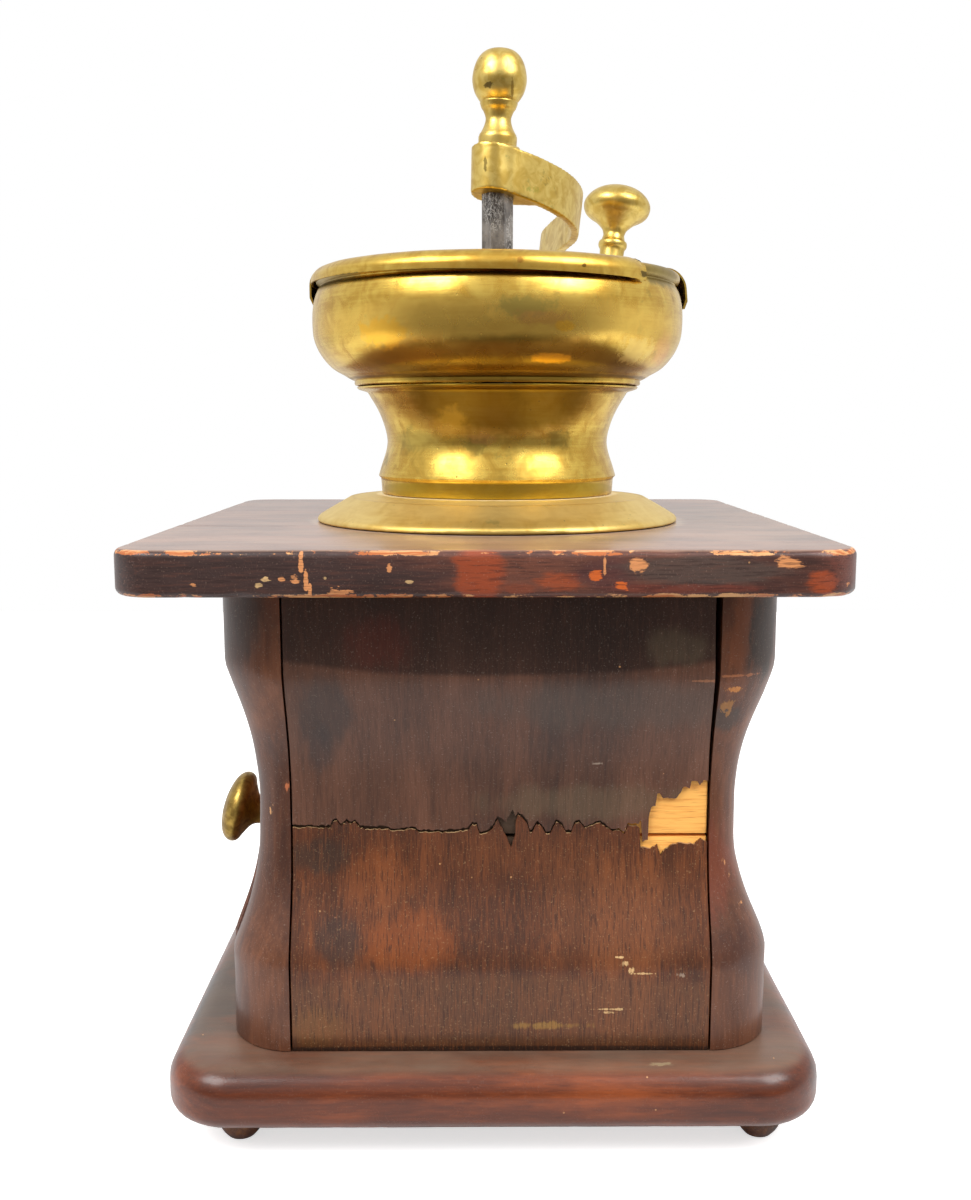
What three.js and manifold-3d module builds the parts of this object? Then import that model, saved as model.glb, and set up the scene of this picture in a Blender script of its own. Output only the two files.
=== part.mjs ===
// Box coffee mill: a waisted wooden case with a side drawer, a spun brass hopper with a turning half
// lid, an S-shaped crank with a mushroom grip, and a cone burr that an adjusting screw raises.
// Lengths are in millimetres and Z is up. Everything is laid out round the mill's shaft, with the
// table at height 0. The drawer opens towards -X. At the end the whole mill is moved so that the
// origin lies on the table under the middle of its outline.
import * as THREE from "three";
import { mergeVertices } from "three/addons/utils/BufferGeometryUtils.js";
import Module from "manifold-3d";

const wasm = await Module();
wasm.setup();

// Fits
const SEAT = 0.3; // between pieces that rest on each other or are glued
const RUNNING = 0.4; // round pieces that turn or slide
const TURN = Math.PI / 180;

// Feet
const FOOT_HEIGHT = 10;
const FOOT_RADIUS = 7.1;
const FOOT_SOLE_RADIUS = 4;
const FOOT_NECK_RADIUS = 6;
const FOOT_INSET = 3.65; // from the case's faces in to the middle of each foot
const SPIGOT_RADIUS = 3;
const SPIGOT_LENGTH = 8;

// Base board
const BASE_THICKNESS = 17.5;
const BASE_EXTRA_WIDTH = 31.1; // wider than the case by this much, both sides together
const BASE_EXTRA_DEPTH = 28.3;
const BASE_SHIFT = -1.9;
const BASE_CORNER = 20;
const BASE_NOSE_ABOVE = 8;
const BASE_NOSE_BELOW = 5;

// Case
const CASE_HALF = 80.85;
const CASE_HEIGHT = 137.3;
const POST_WIDTH = 19.5;
const POST_GAP = 0.6; // the shrinkage gap beside each post
const WAIST_RECESS = 10.4;
const WAIST_WALL = 8.45; // a wall's thickness where the hollow is deepest
const LEFT_RECESS = 8.8; // the drawer side is hollowed less, with a flatter bottom
const LEFT_FLATNESS = 0.8;
const WAIST_START = 23.2; // these three are measured down from the top of the case
const WAIST_MIDDLE = 68.9;
const WAIST_END = 111.1;
const HOLLOW_SPREAD = 1.37;
const HOLLOW_POWER = 1.47;
const VENEER = 0.9;
const BOARD_SPLIT = 75.3; // down from the top of the case to the joint between a wall's two boards
const BOARD_GAP = 1.1;

// Top board
const TOP_THICKNESS = 12.6;
const TOP_EXTRA_WIDTH = 38.3; // wider than the case by this much, both sides together
const TOP_EXTRA_DEPTH = 44.3;
const TOP_SHIFT_X = -4.4;
const TOP_SHIFT_Y = 3;
const TOP_CORNER = 12;
const TOP_EDGE = 2;

// Drawer
const DRAWER_FRONT_HEIGHT = 87;
const DRAWER_LIFT = 3; // its hollow sits this much higher than the posts' hollow
const DRAWER_BACK_ROOM = 6; // between the closed drawer's end and the wall behind it
const DRAWER_BOX_HEIGHT = 70;
const DRAWER_WALL = 6;
const DRAWER_FLOOR = 4;
const RUNNER_HEIGHT = 18;
const RUNNER_WIDTH = 4.3;
const RUNNER_START = 8; // behind the drawer's front
const KNOB_RADIUS = 12.4;
const KNOB_LENGTH = 22;
const KNOB_STEM_RADIUS = 4.6;
const KNOB_HEIGHT = 44.4; // above the base board
const KNOB_TILT = 16;
const KNOB_SEAT_DEPTH = 0.4; // a flat is cut this deep into the drawer's front for the knob
const KNOB_BORE_DEPTH = 10;

// Brass skirt and hopper, in heights above the top board
const SKIRT_RADIUS = 60.4;
const SKIRT_FLAT_RADIUS = 48.8;
const SKIRT_HEIGHT = 8.9;
const SKIRT_METAL = 1;
const HOPPER_METAL = 0.9;
const NECK_WALL_OUT = 7.7; // from the bearing bridge's screws out to the neck's foot
const NECK_BEAD = 1.3; // the bead stands this far out from the foot
const NECK_WAIST = 1.6; // and the waist this far in
const NECK_FLARE = 9.8; // from the waist out to the top
const NECK_TOP = 44.7; // where the bowl sits on the neck
const BOWL_RADIUS = 61.1;
const BOWL_BELLY = 64;
const BOWL_SHOULDER = 74.2;
const RIM_INSET = 1.15; // the rim lies this far inside the bowl's widest ring
const RIM_HEIGHT = 80.4;
const RIM_ROUND = 1.8;
const THROAT_CLEARANCE = 0.9; // the throat is this much wider than the housing's bore

// Lid
const LID_METAL = 0.6;
const LID_PLAY = 0.75; // between the rim and the turning half
const LID_OVER_RIM = 1.6; // from the rim up to the top of the turning half
const LID_STEP = 1.7; // from the top of the turning half up to the top of the fixed half
const TURNING_LID_DEPTH = 6.6;
const TURNING_LID_ROUND = 4.5;
const FIXED_LID_DEPTH = 12.5;
const FIXED_LID_ROUND = 6.2;
const FIXED_LID_LIP = 1.1;
const LID_NOTCH_PLAY = 1.5; // round the shaft, in the straight edge of the fixed half
const LID_REST_TURN = -43; // how far the turning half stands from closed, in degrees
const LID_EYE_RADIUS = 12;
const HEM_RADIUS = 1.3;
const HEM_START = 9;
const HEM_INSET = 11.8; // from the fixed half's edge in to the end of its hem

// Grinding gear, in heights above the top board
const HOUSING_BORE = 27.6;
const HOUSING_WALL = 5.9;
const HOUSING_BOTTOM = -44;
const HOUSING_FLANGE = 4;
const HOUSING_FLANGE_REACH = 11.5;
const HOUSING_COLLAR = 1.5; // the collar above the flange is this much thicker than the wall
const RING_LEDGE = 2.2;
const RING_BOTTOM = -34;
const RING_HEIGHT = 24;
const RING_TEETH = 24;
const RING_TOOTH = 1.4;
const CONE_TEETH = 18;
const CONE_TOOTH = 1.6;
const BURR_MOUTH = 6.2; // the cone's lower edge lies this far inside the housing's bore
const CONE_TOP_RADIUS = 10;
const CONE_HEIGHT = 23;
const CONE_BOTTOM = -33.4;
const TOOTH_TWIST = 26; // degrees over the height of the burrs
const CONE_PIN_RADIUS = 1.5;
const CONE_PIN_DROP = 4; // below the top of the cone
const BRIDGE_HEIGHT = 5;
const BRIDGE_WIDTH = 12;
const BOSS_WALL = 4;
const BOSS_RISE = 3; // each bearing's boss stands this far above its bar
const LOWER_BAR_THICKNESS = 6;
const LOWER_BOSS_LENGTH = 14;
const SOCKET_DEPTH = 6;
const ADJUSTER_RADIUS = 3.7;
const ADJUSTER_HEAD_RADIUS = 11;
const ADJUSTER_HEAD = 3.4;
const ADJUSTER_WING_WIDTH = 8;
const LOCK_NUT_RADIUS = 8;
const LOCK_NUT_HEIGHT = 3;
const SHAFT_RADIUS = 5;
const SHAFT_FLATS = 10.2; // across the flats of its octagonal bar
const THRUST_RADIUS = 3;
const THRUST_LENGTH = 4;
const LIFT_TRAVEL = 1; // the shaft rises this far when the adjusting screw is driven in

// Crank, in heights above the top board and in its own sloping plane
const CRANK_HEIGHT = 120.4; // where the plane of its top edge crosses the shaft's axis
const CRANK_SEAT = 121.2; // the flat on top of its hub
const CRANK_SLOPE = 10.8;
const CRANK_ROLL = 2.6;
const CRANK_HEADING = 66.3; // plan angle from +X to the line from the shaft to the grip
const CRANK_LENGTH = 124.6;
const CRANK_BEND_RADIUS = 37.4;
const CRANK_BEND_AHEAD = 27.8; // centre of the first bend, along the line to the grip
const CRANK_BEND_ASIDE = 19.6; // and beside it, towards the left
const CRANK_WEB_TURN = 26; // how far round the bend the web beside the hub reaches, in degrees
const STRAP_THICKNESS = 4.3;
const STRAP_HEIGHT = 14.8;
const HUB_RADIUS = 7.7;
const SHAFT_SHOULDER = 109.2; // where the shaft's bar steps down to the tang
const TANG_WIDTH = 7;
const STUD_RADIUS = 2.7;
const NUT_DEPTH = 12;
const CRANK_FILLET_TURN = 34; // how far round the bend the hub's fillet on its outside reaches
const GRIP_RADIUS = 14.2;
const GRIP_HEIGHT = 33.1;
const GRIP_NECK_RADIUS = 4.7;
const GRIP_RING_RADIUS = 6;
const GRIP_PIN_RADIUS = 2.4;
const GRIP_PIN_DEPTH = 18;

// Screws
const CASE_SCREW = { head: 4.2, headHeight: 2.6, shank: 2, length: 32 };
const HOUSING_SCREW = { head: 3.4, headHeight: 2, shank: 1.8, length: 15 };
const BRIDGE_SCREW = { head: 3.2, headHeight: 2.2, shank: 1.6, length: 16 };
const BAR_SCREW = { head: 3.2, headHeight: 2.2, shank: 1.6, length: 16 };
const KNOB_SCREW = { head: 3.2, headHeight: 1.8, shank: 1.6, length: 22 };
const KNOB_SCREW_GRIP = 9; // its length inside the knob
const CASE_SCREW_INSET = 14.65; // from the case's faces in to each screw
const HOUSING_SCREW_OUT = 7.1; // from the housing's wall out to each screw in its flange
const GEAR_SCREW_OUT = 3.3; // from the housing's bore out to the screws of the bearings

// Sizes worked out from the ones above
const BASE_TOP = FOOT_HEIGHT + BASE_THICKNESS;
const CASE_TOP = BASE_TOP + CASE_HEIGHT;
const DECK = CASE_TOP + TOP_THICKNESS;
const HOLLOW_TOP = CASE_TOP - WAIST_START;
const WAIST = CASE_TOP - WAIST_MIDDLE;
const HOLLOW_BOTTOM = CASE_TOP - WAIST_END;
const POST_SIDE = CASE_HALF - POST_WIDTH;
const WALL_INNER = CASE_HALF - WAIST_RECESS - WAIST_WALL;
const BASE_WIDTH = 2 * CASE_HALF + BASE_EXTRA_WIDTH;
const BASE_DEPTH = 2 * CASE_HALF + BASE_EXTRA_DEPTH;
const TOP_WIDTH = 2 * CASE_HALF + TOP_EXTRA_WIDTH;
const TOP_DEPTH = 2 * CASE_HALF + TOP_EXTRA_DEPTH;
const FOOT_SPREAD = CASE_HALF - FOOT_INSET;
const CASE_SCREW_SPREAD = CASE_HALF - CASE_SCREW_INSET;
const DRAWER_LENGTH = 2 * WALL_INNER - DRAWER_BACK_ROOM;
const DRAWER_HALF_WIDTH = WALL_INNER - SEAT - RUNNER_WIDTH - RUNNING;
const HOUSING_RADIUS = HOUSING_BORE + HOUSING_WALL;
const HOUSING_SCREW_CIRCLE = HOUSING_RADIUS + HOUSING_SCREW_OUT;
const GEAR_SCREW_CIRCLE = HOUSING_BORE + GEAR_SCREW_OUT;
const THROAT_RADIUS = HOUSING_BORE + THROAT_CLEARANCE;
const NECK_FOOT_RADIUS = GEAR_SCREW_CIRCLE + NECK_WALL_OUT;
const NECK_BEAD_RADIUS = NECK_FOOT_RADIUS + NECK_BEAD;
const NECK_WAIST_RADIUS = NECK_FOOT_RADIUS - NECK_WAIST;
const NECK_TOP_RADIUS = NECK_WAIST_RADIUS + NECK_FLARE;
const CONE_RADIUS = HOUSING_BORE - BURR_MOUTH;
const BOSS_RADIUS = SHAFT_RADIUS + BOSS_WALL;
const OCTAGON_RADIUS = SHAFT_FLATS / 2 / Math.cos(22.5 * TURN);
const RIM_RADIUS = BOWL_RADIUS - RIM_INSET;
const TURNING_LID_RADIUS = RIM_RADIUS + LID_PLAY + LID_METAL;
const TURNING_LID_TOP = RIM_HEIGHT + LID_OVER_RIM;
const FIXED_LID_RADIUS = TURNING_LID_RADIUS + RUNNING + LID_METAL;
const FIXED_LID_TOP = TURNING_LID_TOP + LID_STEP;

// The ragged break across the front veneer, as points of [across, up from the break's mean line].
const BREAK_DROP = 71.7; // from the top of the case down to that line
const BREAK_GAP = 0.5;
const BREAK_DRAWN_FOR = 61.35; // half the width of the veneer that the points are drawn for
const BREAK_AT_SIDE = 0.3;
const PATCH_TOP_AT_SIDE = 13.3;
const PATCH_FOOT_AT_SIDE = -5.5;
const BREAK = [
  [-49.9, 0.1],
  [-49.1, 1.9],
  [-48, 2.1],
  [-46.7, 0.5],
  [-45.2, 2.1],
  [-43.9, 1.1],
  [-42.6, 1.9],
  [-41.1, -0.1],
  [-33.5, -0.3],
  [-31.7, -1],
  [-24.9, -0.5],
  [-23.8, -1.3],
  [-15.6, -1.3],
  [-9.6, -0.7],
  [-8.3, 1],
  [-6.9, 0.9],
  [-6.1, -1.9],
  [-4.3, -1.7],
  [-2.2, -0.1],
  [-0.9, 2.8],
  [1.9, 1],
  [2.1, 2.2],
  [3.7, 4.7],
  [4.4, 2.8],
  [5.2, 4],
  [6.4, 3.3],
  [7.9, 1.6],
  [8.7, -1.3],
  [9.3, -1.3],
  [10.7, 1.3],
  [12.2, 0.3],
  [13.4, -1.9],
  [14.6, -1.9],
  [16.4, 1.7],
  [18.3, 0.6],
  [19.4, -1.6],
  [20.9, -1.7],
  [21.7, 0.9],
  [23.3, 1.7],
  [24.8, -0.4],
  [26.4, 0.3],
  [29.5, 1.4],
  [31.2, 0],
  [33.2, -1.2],
  [34.9, -0.9],
  [36.6, -2.1],
  [37.6, 0.7],
  [40.7, 0.2],
];
// The lower veneer's edge where a splinter is missing below the break.
const NOTCH = [
  [1.7, -2.3],
  [3.2, -5.7],
  [4.4, -2.3],
  [4.6, 2.4],
];
// The upper edge of the bare patch beside the right post, with a sliver hanging at its left.
const PATCH_ABOVE = [
  [41.5, 1.4],
  [42, -5.2],
  [43.5, -4.6],
  [43.7, 2.6],
  [44.4, 5.4],
  [45.6, 5.7],
  [46.1, 9.5],
  [46.7, 9.6],
  [47.8, 8],
  [51.7, 8],
  [52.7, 9.5],
  [53.7, 11.5],
  [55.6, 11],
  [56.1, 13.4],
  [57.8, 13.3],
  [58.6, 12],
  [59.6, 13.6],
];
// The lower edge of the bare patch.
const PATCH_BELOW = [
  [41, -0.3],
  [41.4, -6],
  [44.4, -6.8],
  [46.3, -5.5],
  [47.3, -8.8],
  [48.8, -6.8],
  [50.8, -5.5],
  [53.2, -5],
  [56.9, -5.5],
  [59.1, -3.7],
];

// Colours and finishes
const finish = (color, roughness, metalness) =>
  new THREE.MeshStandardMaterial({ color, roughness, metalness });
const BRASS = finish(0xb8923f, 0.34, 1);
const IRON = finish(0x3d3a39, 0.6, 0.9);
const STEEL = finish(0x6d6a66, 0.45, 1);
const VENEER_WOOD = finish(0x5b3526, 0.5, 0);
const BOARD_WOOD = finish(0x4c2c23, 0.5, 0);
const POST_WOOD = finish(0x50302a, 0.5, 0);
const PINE = finish(0xd9a04e, 0.75, 0);
const FOOT_WOOD = finish(0x3a2419, 0.55, 0);

// Solids

// A geometry's triangles with shared corners and no slivers.
function welded(geometry) {
  const bare = new THREE.BufferGeometry();
  bare.setAttribute("position", geometry.getAttribute("position"));
  bare.setIndex(geometry.getIndex());
  const merged = mergeVertices(bare, 1e-4);
  const corners = merged.index.array;
  const kept = [];
  for (let i = 0; i < corners.length; i += 3) {
    const [a, b, c] = [corners[i], corners[i + 1], corners[i + 2]];
    if (a !== b && b !== c && c !== a) kept.push(a, b, c);
  }
  merged.setIndex(kept);
  return merged;
}

function solid(geometry) {
  const g = welded(geometry);
  const vertProperties = new Float32Array(g.attributes.position.array);
  const made = (triVerts) => new wasm.Manifold(new wasm.Mesh({ numProp: 3, vertProperties, triVerts }));
  const corners = Uint32Array.from(g.index.array);
  const shape = made(corners);
  if (shape.volume() > 0) return shape;
  return made(corners.reverse());
}

function geometryOf(shape) {
  const mesh = shape.getMesh();
  const geometry = new THREE.BufferGeometry();
  geometry.setAttribute("position", new THREE.BufferAttribute(new Float32Array(mesh.vertProperties), 3));
  geometry.setIndex(new THREE.BufferAttribute(new Uint32Array(mesh.triVerts), 1));
  geometry.computeVertexNormals();
  return geometry;
}

const joined = (...shapes) => shapes.reduce((all, next) => all.add(next));
const cut = (shape, ...tools) => tools.reduce((left, tool) => left.subtract(tool), shape);
const common = (...shapes) => shapes.reduce((all, next) => all.intersect(next));

function moved(shape, x, y, z) {
  return shape.translate([x, y, z]);
}

function turned(shape, x, y, z) {
  return shape.rotate([x, y, z]);
}

// A solid of revolution round Z from a closed outline of [radius, height] points.
function lathe(outline, segments, start = 0, sweep = 360) {
  const points = [...outline, outline[0]].map(([r, z]) => new THREE.Vector2(r, z));
  const geometry = new THREE.LatheGeometry(points, segments, 0, 2 * Math.PI).rotateX(Math.PI / 2);
  const whole = solid(geometry);
  if (sweep === 360) return whole;
  const reach = 2 * Math.max(...outline.map(([r]) => r));
  const low = Math.min(...outline.map(([, z]) => z)) - 1;
  const high = Math.max(...outline.map(([, z]) => z)) + 1;
  const half = box([0, reach], [-reach, reach], [low, high]);
  return common(whole, turned(half, 0, 0, start + 90));
}

function disc(radius, low, high, segments = 24) {
  return lathe(
    [
      [0, low],
      [radius, low],
      [radius, high],
      [0, high],
    ],
    segments,
  );
}

function box([x0, x1], [y0, y1], [z0, z1]) {
  const geometry = new THREE.BoxGeometry(x1 - x0, y1 - y0, z1 - z0);
  return solid(geometry.translate((x0 + x1) / 2, (y0 + y1) / 2, (z0 + z1) / 2));
}

// A prism from an outline in X and Y.
function prism(outline, low, high) {
  const shape = new THREE.Shape(outline.map(([x, y]) => new THREE.Vector2(x, y)));
  const geometry = new THREE.ExtrudeGeometry(shape, { depth: high - low, bevelEnabled: false });
  return solid(geometry.translate(0, 0, low));
}

// A prism whose outline is drawn in X and Z, running along Y.
function upright(outline, front, back) {
  return moved(turned(prism(outline, 0, back - front), 90, 0, 0), 0, back, 0);
}

// A closed skin over rings of equal length, each a list of [x, y, z], from the bottom up.
function loft(rings) {
  const count = rings[0].length;
  const middle = (ring) => [0, 1, 2].map((k) => ring.reduce((sum, p) => sum + p[k], 0) / count);
  const points = [...rings.flat(), middle(rings[0]), middle(rings[rings.length - 1])];
  const corners = [];
  for (let level = 0; level < rings.length - 1; level += 1) {
    for (let i = 0; i < count; i += 1) {
      const a = level * count + i;
      const b = level * count + ((i + 1) % count);
      corners.push(a, b, b + count, a, b + count, a + count);
    }
  }
  const bottom = rings.length * count;
  const lastRing = (rings.length - 1) * count;
  for (let i = 0; i < count; i += 1) {
    const next = (i + 1) % count;
    corners.push(bottom, next, i, bottom + 1, lastRing + i, lastRing + next);
  }
  const geometry = new THREE.BufferGeometry();
  geometry.setAttribute("position", new THREE.Float32BufferAttribute(points.flat(), 3));
  geometry.setIndex(corners);
  return solid(geometry);
}

// An arc of [x, y] points round a centre, both ends included.
function arc([cx, cy], radius, from, to, steps) {
  return Array.from({ length: steps + 1 }, (_, i) => {
    const angle = (from + ((to - from) * i) / steps) * TURN;
    return [cx + radius * Math.cos(angle), cy + radius * Math.sin(angle)];
  });
}

// A board with rounded corners whose edge follows a list of [inset, height].
function board(width, depth, corner, edge, steps = 6) {
  const rings = edge.map(([inset, z]) => {
    const r = corner - inset;
    const x = width / 2 - corner;
    const y = depth / 2 - corner;
    const plan = [
      ...arc([x, y], r, 0, 90, steps),
      ...arc([-x, y], r, 90, 180, steps),
      ...arc([-x, -y], r, 180, 270, steps),
      ...arc([x, -y], r, 270, 360, steps),
    ];
    return plan.map(([px, py]) => [px, py, z]);
  });
  return loft(rings);
}

// A screw standing on its point: a slotted countersunk or round head on a plain shank, head down.
function screw({ head, headHeight, shank, length }, countersunk) {
  const headEdge = countersunk ? 0.5 : headHeight * 0.45;
  const outline = [
    [0, 0],
    [countersunk ? head : head * 0.62, 0],
    [head, headEdge],
    [countersunk ? shank : head, headHeight],
    [shank, headHeight],
    [shank, length - 2],
    [0, length],
  ];
  const slot = box([-head - 1, head + 1], [-0.5, 0.5], [-1, headHeight * 0.4]);
  return cut(lathe(outline, 12), slot);
}

// Every piece is added to the mill by its node name.
const mill = new THREE.Group();
function piece(name, shape, material) {
  const mesh = new THREE.Mesh(geometryOf(shape), material);
  mesh.name = name;
  mill.add(mesh);
  return mesh;
}

// The case's outline

function recess(z) {
  const reach = z > WAIST ? HOLLOW_TOP - WAIST : WAIST - HOLLOW_BOTTOM;
  const along = Math.min(Math.abs(z - WAIST) / reach, 1);
  return WAIST_RECESS * Math.cos((Math.PI / 2) * along ** HOLLOW_SPREAD) ** HOLLOW_POWER;
}

const faceAt = (z) => CASE_HALF - recess(z);
const leftFaceAt = (z) => CASE_HALF - LEFT_RECESS * (recess(z) / WAIST_RECESS) ** LEFT_FLATNESS;

// The heights at which a curved piece between two heights has a ring.
function levels(low, high, steps = 15) {
  const step = (HOLLOW_TOP - HOLLOW_BOTTOM) / steps;
  const all = Array.from({ length: steps + 1 }, (_, i) => HOLLOW_BOTTOM + step * i);
  return [low, ...all.filter((z) => z > low + 1 && z < high - 1), high];
}

// A piece of wall facing +X between two heights, from an inner to an outer distance off the shaft.
function wall(low, high, inner, outer, halfWidth = POST_SIDE - POST_GAP / 2) {
  const rise = levels(low, high);
  const outline = [
    ...rise.map((z) => [outer(z), z]),
    ...rise
      .slice()
      .reverse()
      .map((z) => [inner(z), z]),
  ];
  const tidy = outline.filter(([d, z], i) => {
    const [nextD, nextZ] = outline[(i + 1) % outline.length];
    return Math.hypot(nextD - d, nextZ - z) > 1e-6;
  });
  return upright(tidy, -halfWidth, halfWidth);
}

// Board, veneer and bare-wood faces of a wall.
const flatInside = () => WALL_INNER;
const bareFace = (z) => faceAt(z) - VENEER - SEAT / 2;
const veneerBack = (z) => faceAt(z) - VENEER;
const CASE_LOW = BASE_TOP + SEAT;
const CASE_HIGH = CASE_TOP - SEAT;
const SPLIT = CASE_TOP - BOARD_SPLIT;
const FACING = { right: 0, back: 90, left: 180, front: 270 };

// A post for the corner at +X and +Y, whose two faces follow two outlines.
function cornerPost(faceX, faceY) {
  const inner = POST_SIDE + POST_GAP / 2;
  const rings = levels(CASE_LOW, CASE_HIGH).map((z) => {
    const quarter = arc([0, 0], 1, 0, 90, 6).map(([x, y]) => [
      inner + x * (faceX(z) - inner),
      inner + y * (faceY(z) - inner),
      z,
    ]);
    return [[inner, inner, z], ...quarter];
  });
  const holeDepth = CASE_SCREW.length - BASE_THICKNESS + 3;
  const hole = disc(CASE_SCREW.shank + SEAT, -1, holeDepth, 10);
  return cut(loft(rings), moved(hole, CASE_SCREW_SPREAD, CASE_SCREW_SPREAD, BASE_TOP));
}

function makeCase() {
  const posts = [
    ["back_right", faceAt, faceAt],
    ["back_left", faceAt, leftFaceAt],
    ["front_left", leftFaceAt, faceAt],
    ["front_right", faceAt, faceAt],
  ];
  posts.forEach(([corner, faceX, faceY], i) => {
    piece("corner_post_" + corner, turned(cornerPost(faceX, faceY), 0, 0, 90 * i), POST_WOOD);
  });
  for (const side of ["right", "back", "front"]) {
    const lower = wall(CASE_LOW, SPLIT - BOARD_GAP / 2, flatInside, bareFace);
    const upper = wall(SPLIT + BOARD_GAP / 2, CASE_HIGH, flatInside, bareFace);
    piece(side + "_board_lower", turned(lower, 0, 0, FACING[side]), PINE);
    piece(side + "_board_upper", turned(upper, 0, 0, FACING[side]), PINE);
  }
  for (const side of ["right", "back"]) {
    const sheet = wall(CASE_LOW, CASE_HIGH, veneerBack, faceAt);
    piece(side + "_veneer", turned(sheet, 0, 0, FACING[side]), VENEER_WOOD);
  }
  makeFrontVeneer();
  const lintelLow = CASE_LOW + DRAWER_FRONT_HEIGHT + SEAT * 2;
  const lintel = wall(lintelLow, CASE_HIGH, flatInside, leftFaceAt);
  piece("drawer_lintel", turned(lintel, 0, 0, FACING.left), BOARD_WOOD);
}

// The front veneer has broken across the waist and lost a patch beside the right post.
function makeFrontVeneer() {
  const sheet = turned(wall(CASE_LOW, CASE_HIGH, veneerBack, faceAt), 0, 0, FACING.front);
  const side = POST_SIDE + 1;
  const wider = POST_SIDE / BREAK_DRAWN_FOR;
  const line = CASE_TOP - BREAK_DROP;
  const placed = (points, by) => points.map(([x, up]) => [x * wider, line + up + by]);
  const notchFrom = BREAK.findIndex(([x]) => x > NOTCH[0][0]);
  const notchTo = BREAK.findIndex(([x]) => x > NOTCH[NOTCH.length - 1][0]);
  const notched = [...BREAK.slice(0, notchFrom), ...NOTCH, ...BREAK.slice(notchTo)];
  const upperOutline = [
    [-side, line + BREAK_AT_SIDE],
    ...placed([...BREAK, ...PATCH_ABOVE], 0),
    [side, line + PATCH_TOP_AT_SIDE],
    [side, CASE_TOP],
    [-side, CASE_TOP],
  ];
  const lowerOutline = [
    [side, line + PATCH_FOOT_AT_SIDE - BREAK_GAP],
    ...placed([...notched, ...PATCH_BELOW], -BREAK_GAP).reverse(),
    [-side, line + BREAK_AT_SIDE - BREAK_GAP],
    [-side, BASE_TOP],
    [side, BASE_TOP],
  ];
  const reach = CASE_HALF + 1;
  piece("front_veneer_upper", common(sheet, upright(upperOutline, -reach, -WALL_INNER)), VENEER_WOOD);
  piece("front_veneer_lower", common(sheet, upright(lowerOutline, -reach, -WALL_INNER)), VENEER_WOOD);
}

// Boards and feet

// The edge of a board, from its underside up, as points of [inset, height].
function roundedEdge(thickness, above, below, steps) {
  const low = arc([below, below], below, 270, 180, steps);
  const high = arc([above, thickness - above], above, 180, 90, steps);
  return [...low, ...high];
}

function makeBoards() {
  const edge = roundedEdge(BASE_THICKNESS, BASE_NOSE_ABOVE, BASE_NOSE_BELOW, 4);
  let base = moved(board(BASE_WIDTH, BASE_DEPTH, BASE_CORNER, edge), BASE_SHIFT, 0, FOOT_HEIGHT);
  const topEdge = roundedEdge(TOP_THICKNESS, TOP_EDGE, TOP_EDGE, 2);
  const plank = board(TOP_WIDTH, TOP_DEPTH, TOP_CORNER, topEdge, 4);
  const housingHole = disc(HOUSING_RADIUS + SEAT, CASE_TOP - 1, DECK + 1, 40);
  let top = cut(moved(plank, TOP_SHIFT_X, TOP_SHIFT_Y, CASE_TOP), housingHole);
  for (const [, x, y] of housingScrews()) {
    const depth = HOUSING_SCREW.length - HOUSING_SCREW.headHeight - HOUSING_FLANGE;
    top = cut(top, moved(disc(HOUSING_SCREW.shank + SEAT, -depth - 1, 1, 10), x, y, DECK));
  }
  const spigotHole = disc(SPIGOT_RADIUS + SEAT, -1, SPIGOT_LENGTH + SEAT, 12);
  const screwHole = lathe(
    [
      [0, -1],
      [CASE_SCREW.head + SEAT, -1],
      [CASE_SCREW.head + SEAT, SEAT + 0.5],
      [CASE_SCREW.shank + SEAT, CASE_SCREW.headHeight + SEAT],
      [CASE_SCREW.shank + SEAT, BASE_THICKNESS + 1],
      [0, BASE_THICKNESS + 1],
    ],
    12,
  );
  const corners = [
    ["back_right", 1, 1],
    ["back_left", -1, 1],
    ["front_left", -1, -1],
    ["front_right", 1, -1],
  ];
  for (const [corner, x, y] of corners) {
    base = cut(
      base,
      moved(spigotHole, x * FOOT_SPREAD, y * FOOT_SPREAD, FOOT_HEIGHT),
      moved(screwHole, x * CASE_SCREW_SPREAD, y * CASE_SCREW_SPREAD, FOOT_HEIGHT),
    );
    piece("foot_" + corner, moved(foot(), x * FOOT_SPREAD, y * FOOT_SPREAD, 0), FOOT_WOOD);
    const screwPlace = [x * CASE_SCREW_SPREAD, y * CASE_SCREW_SPREAD, FOOT_HEIGHT + SEAT];
    piece("case_screw_" + corner, moved(screw(CASE_SCREW, true), ...screwPlace), STEEL);
  }
  piece("base_board", base, BOARD_WOOD);
  piece("top_board", top, BOARD_WOOD);
}

function foot() {
  const top = FOOT_HEIGHT - SEAT;
  return lathe(
    [
      [0, 0],
      [FOOT_SOLE_RADIUS, 0],
      [FOOT_RADIUS * 0.8, top * 0.22],
      [FOOT_RADIUS * 0.95, top * 0.45],
      [FOOT_RADIUS, top * 0.68],
      [FOOT_RADIUS * 0.96, top * 0.86],
      [FOOT_NECK_RADIUS, top],
      [SPIGOT_RADIUS, top],
      [SPIGOT_RADIUS, FOOT_HEIGHT + SPIGOT_LENGTH],
      [0, FOOT_HEIGHT + SPIGOT_LENGTH],
    ],
    16,
  );
}

// Drawer

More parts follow.
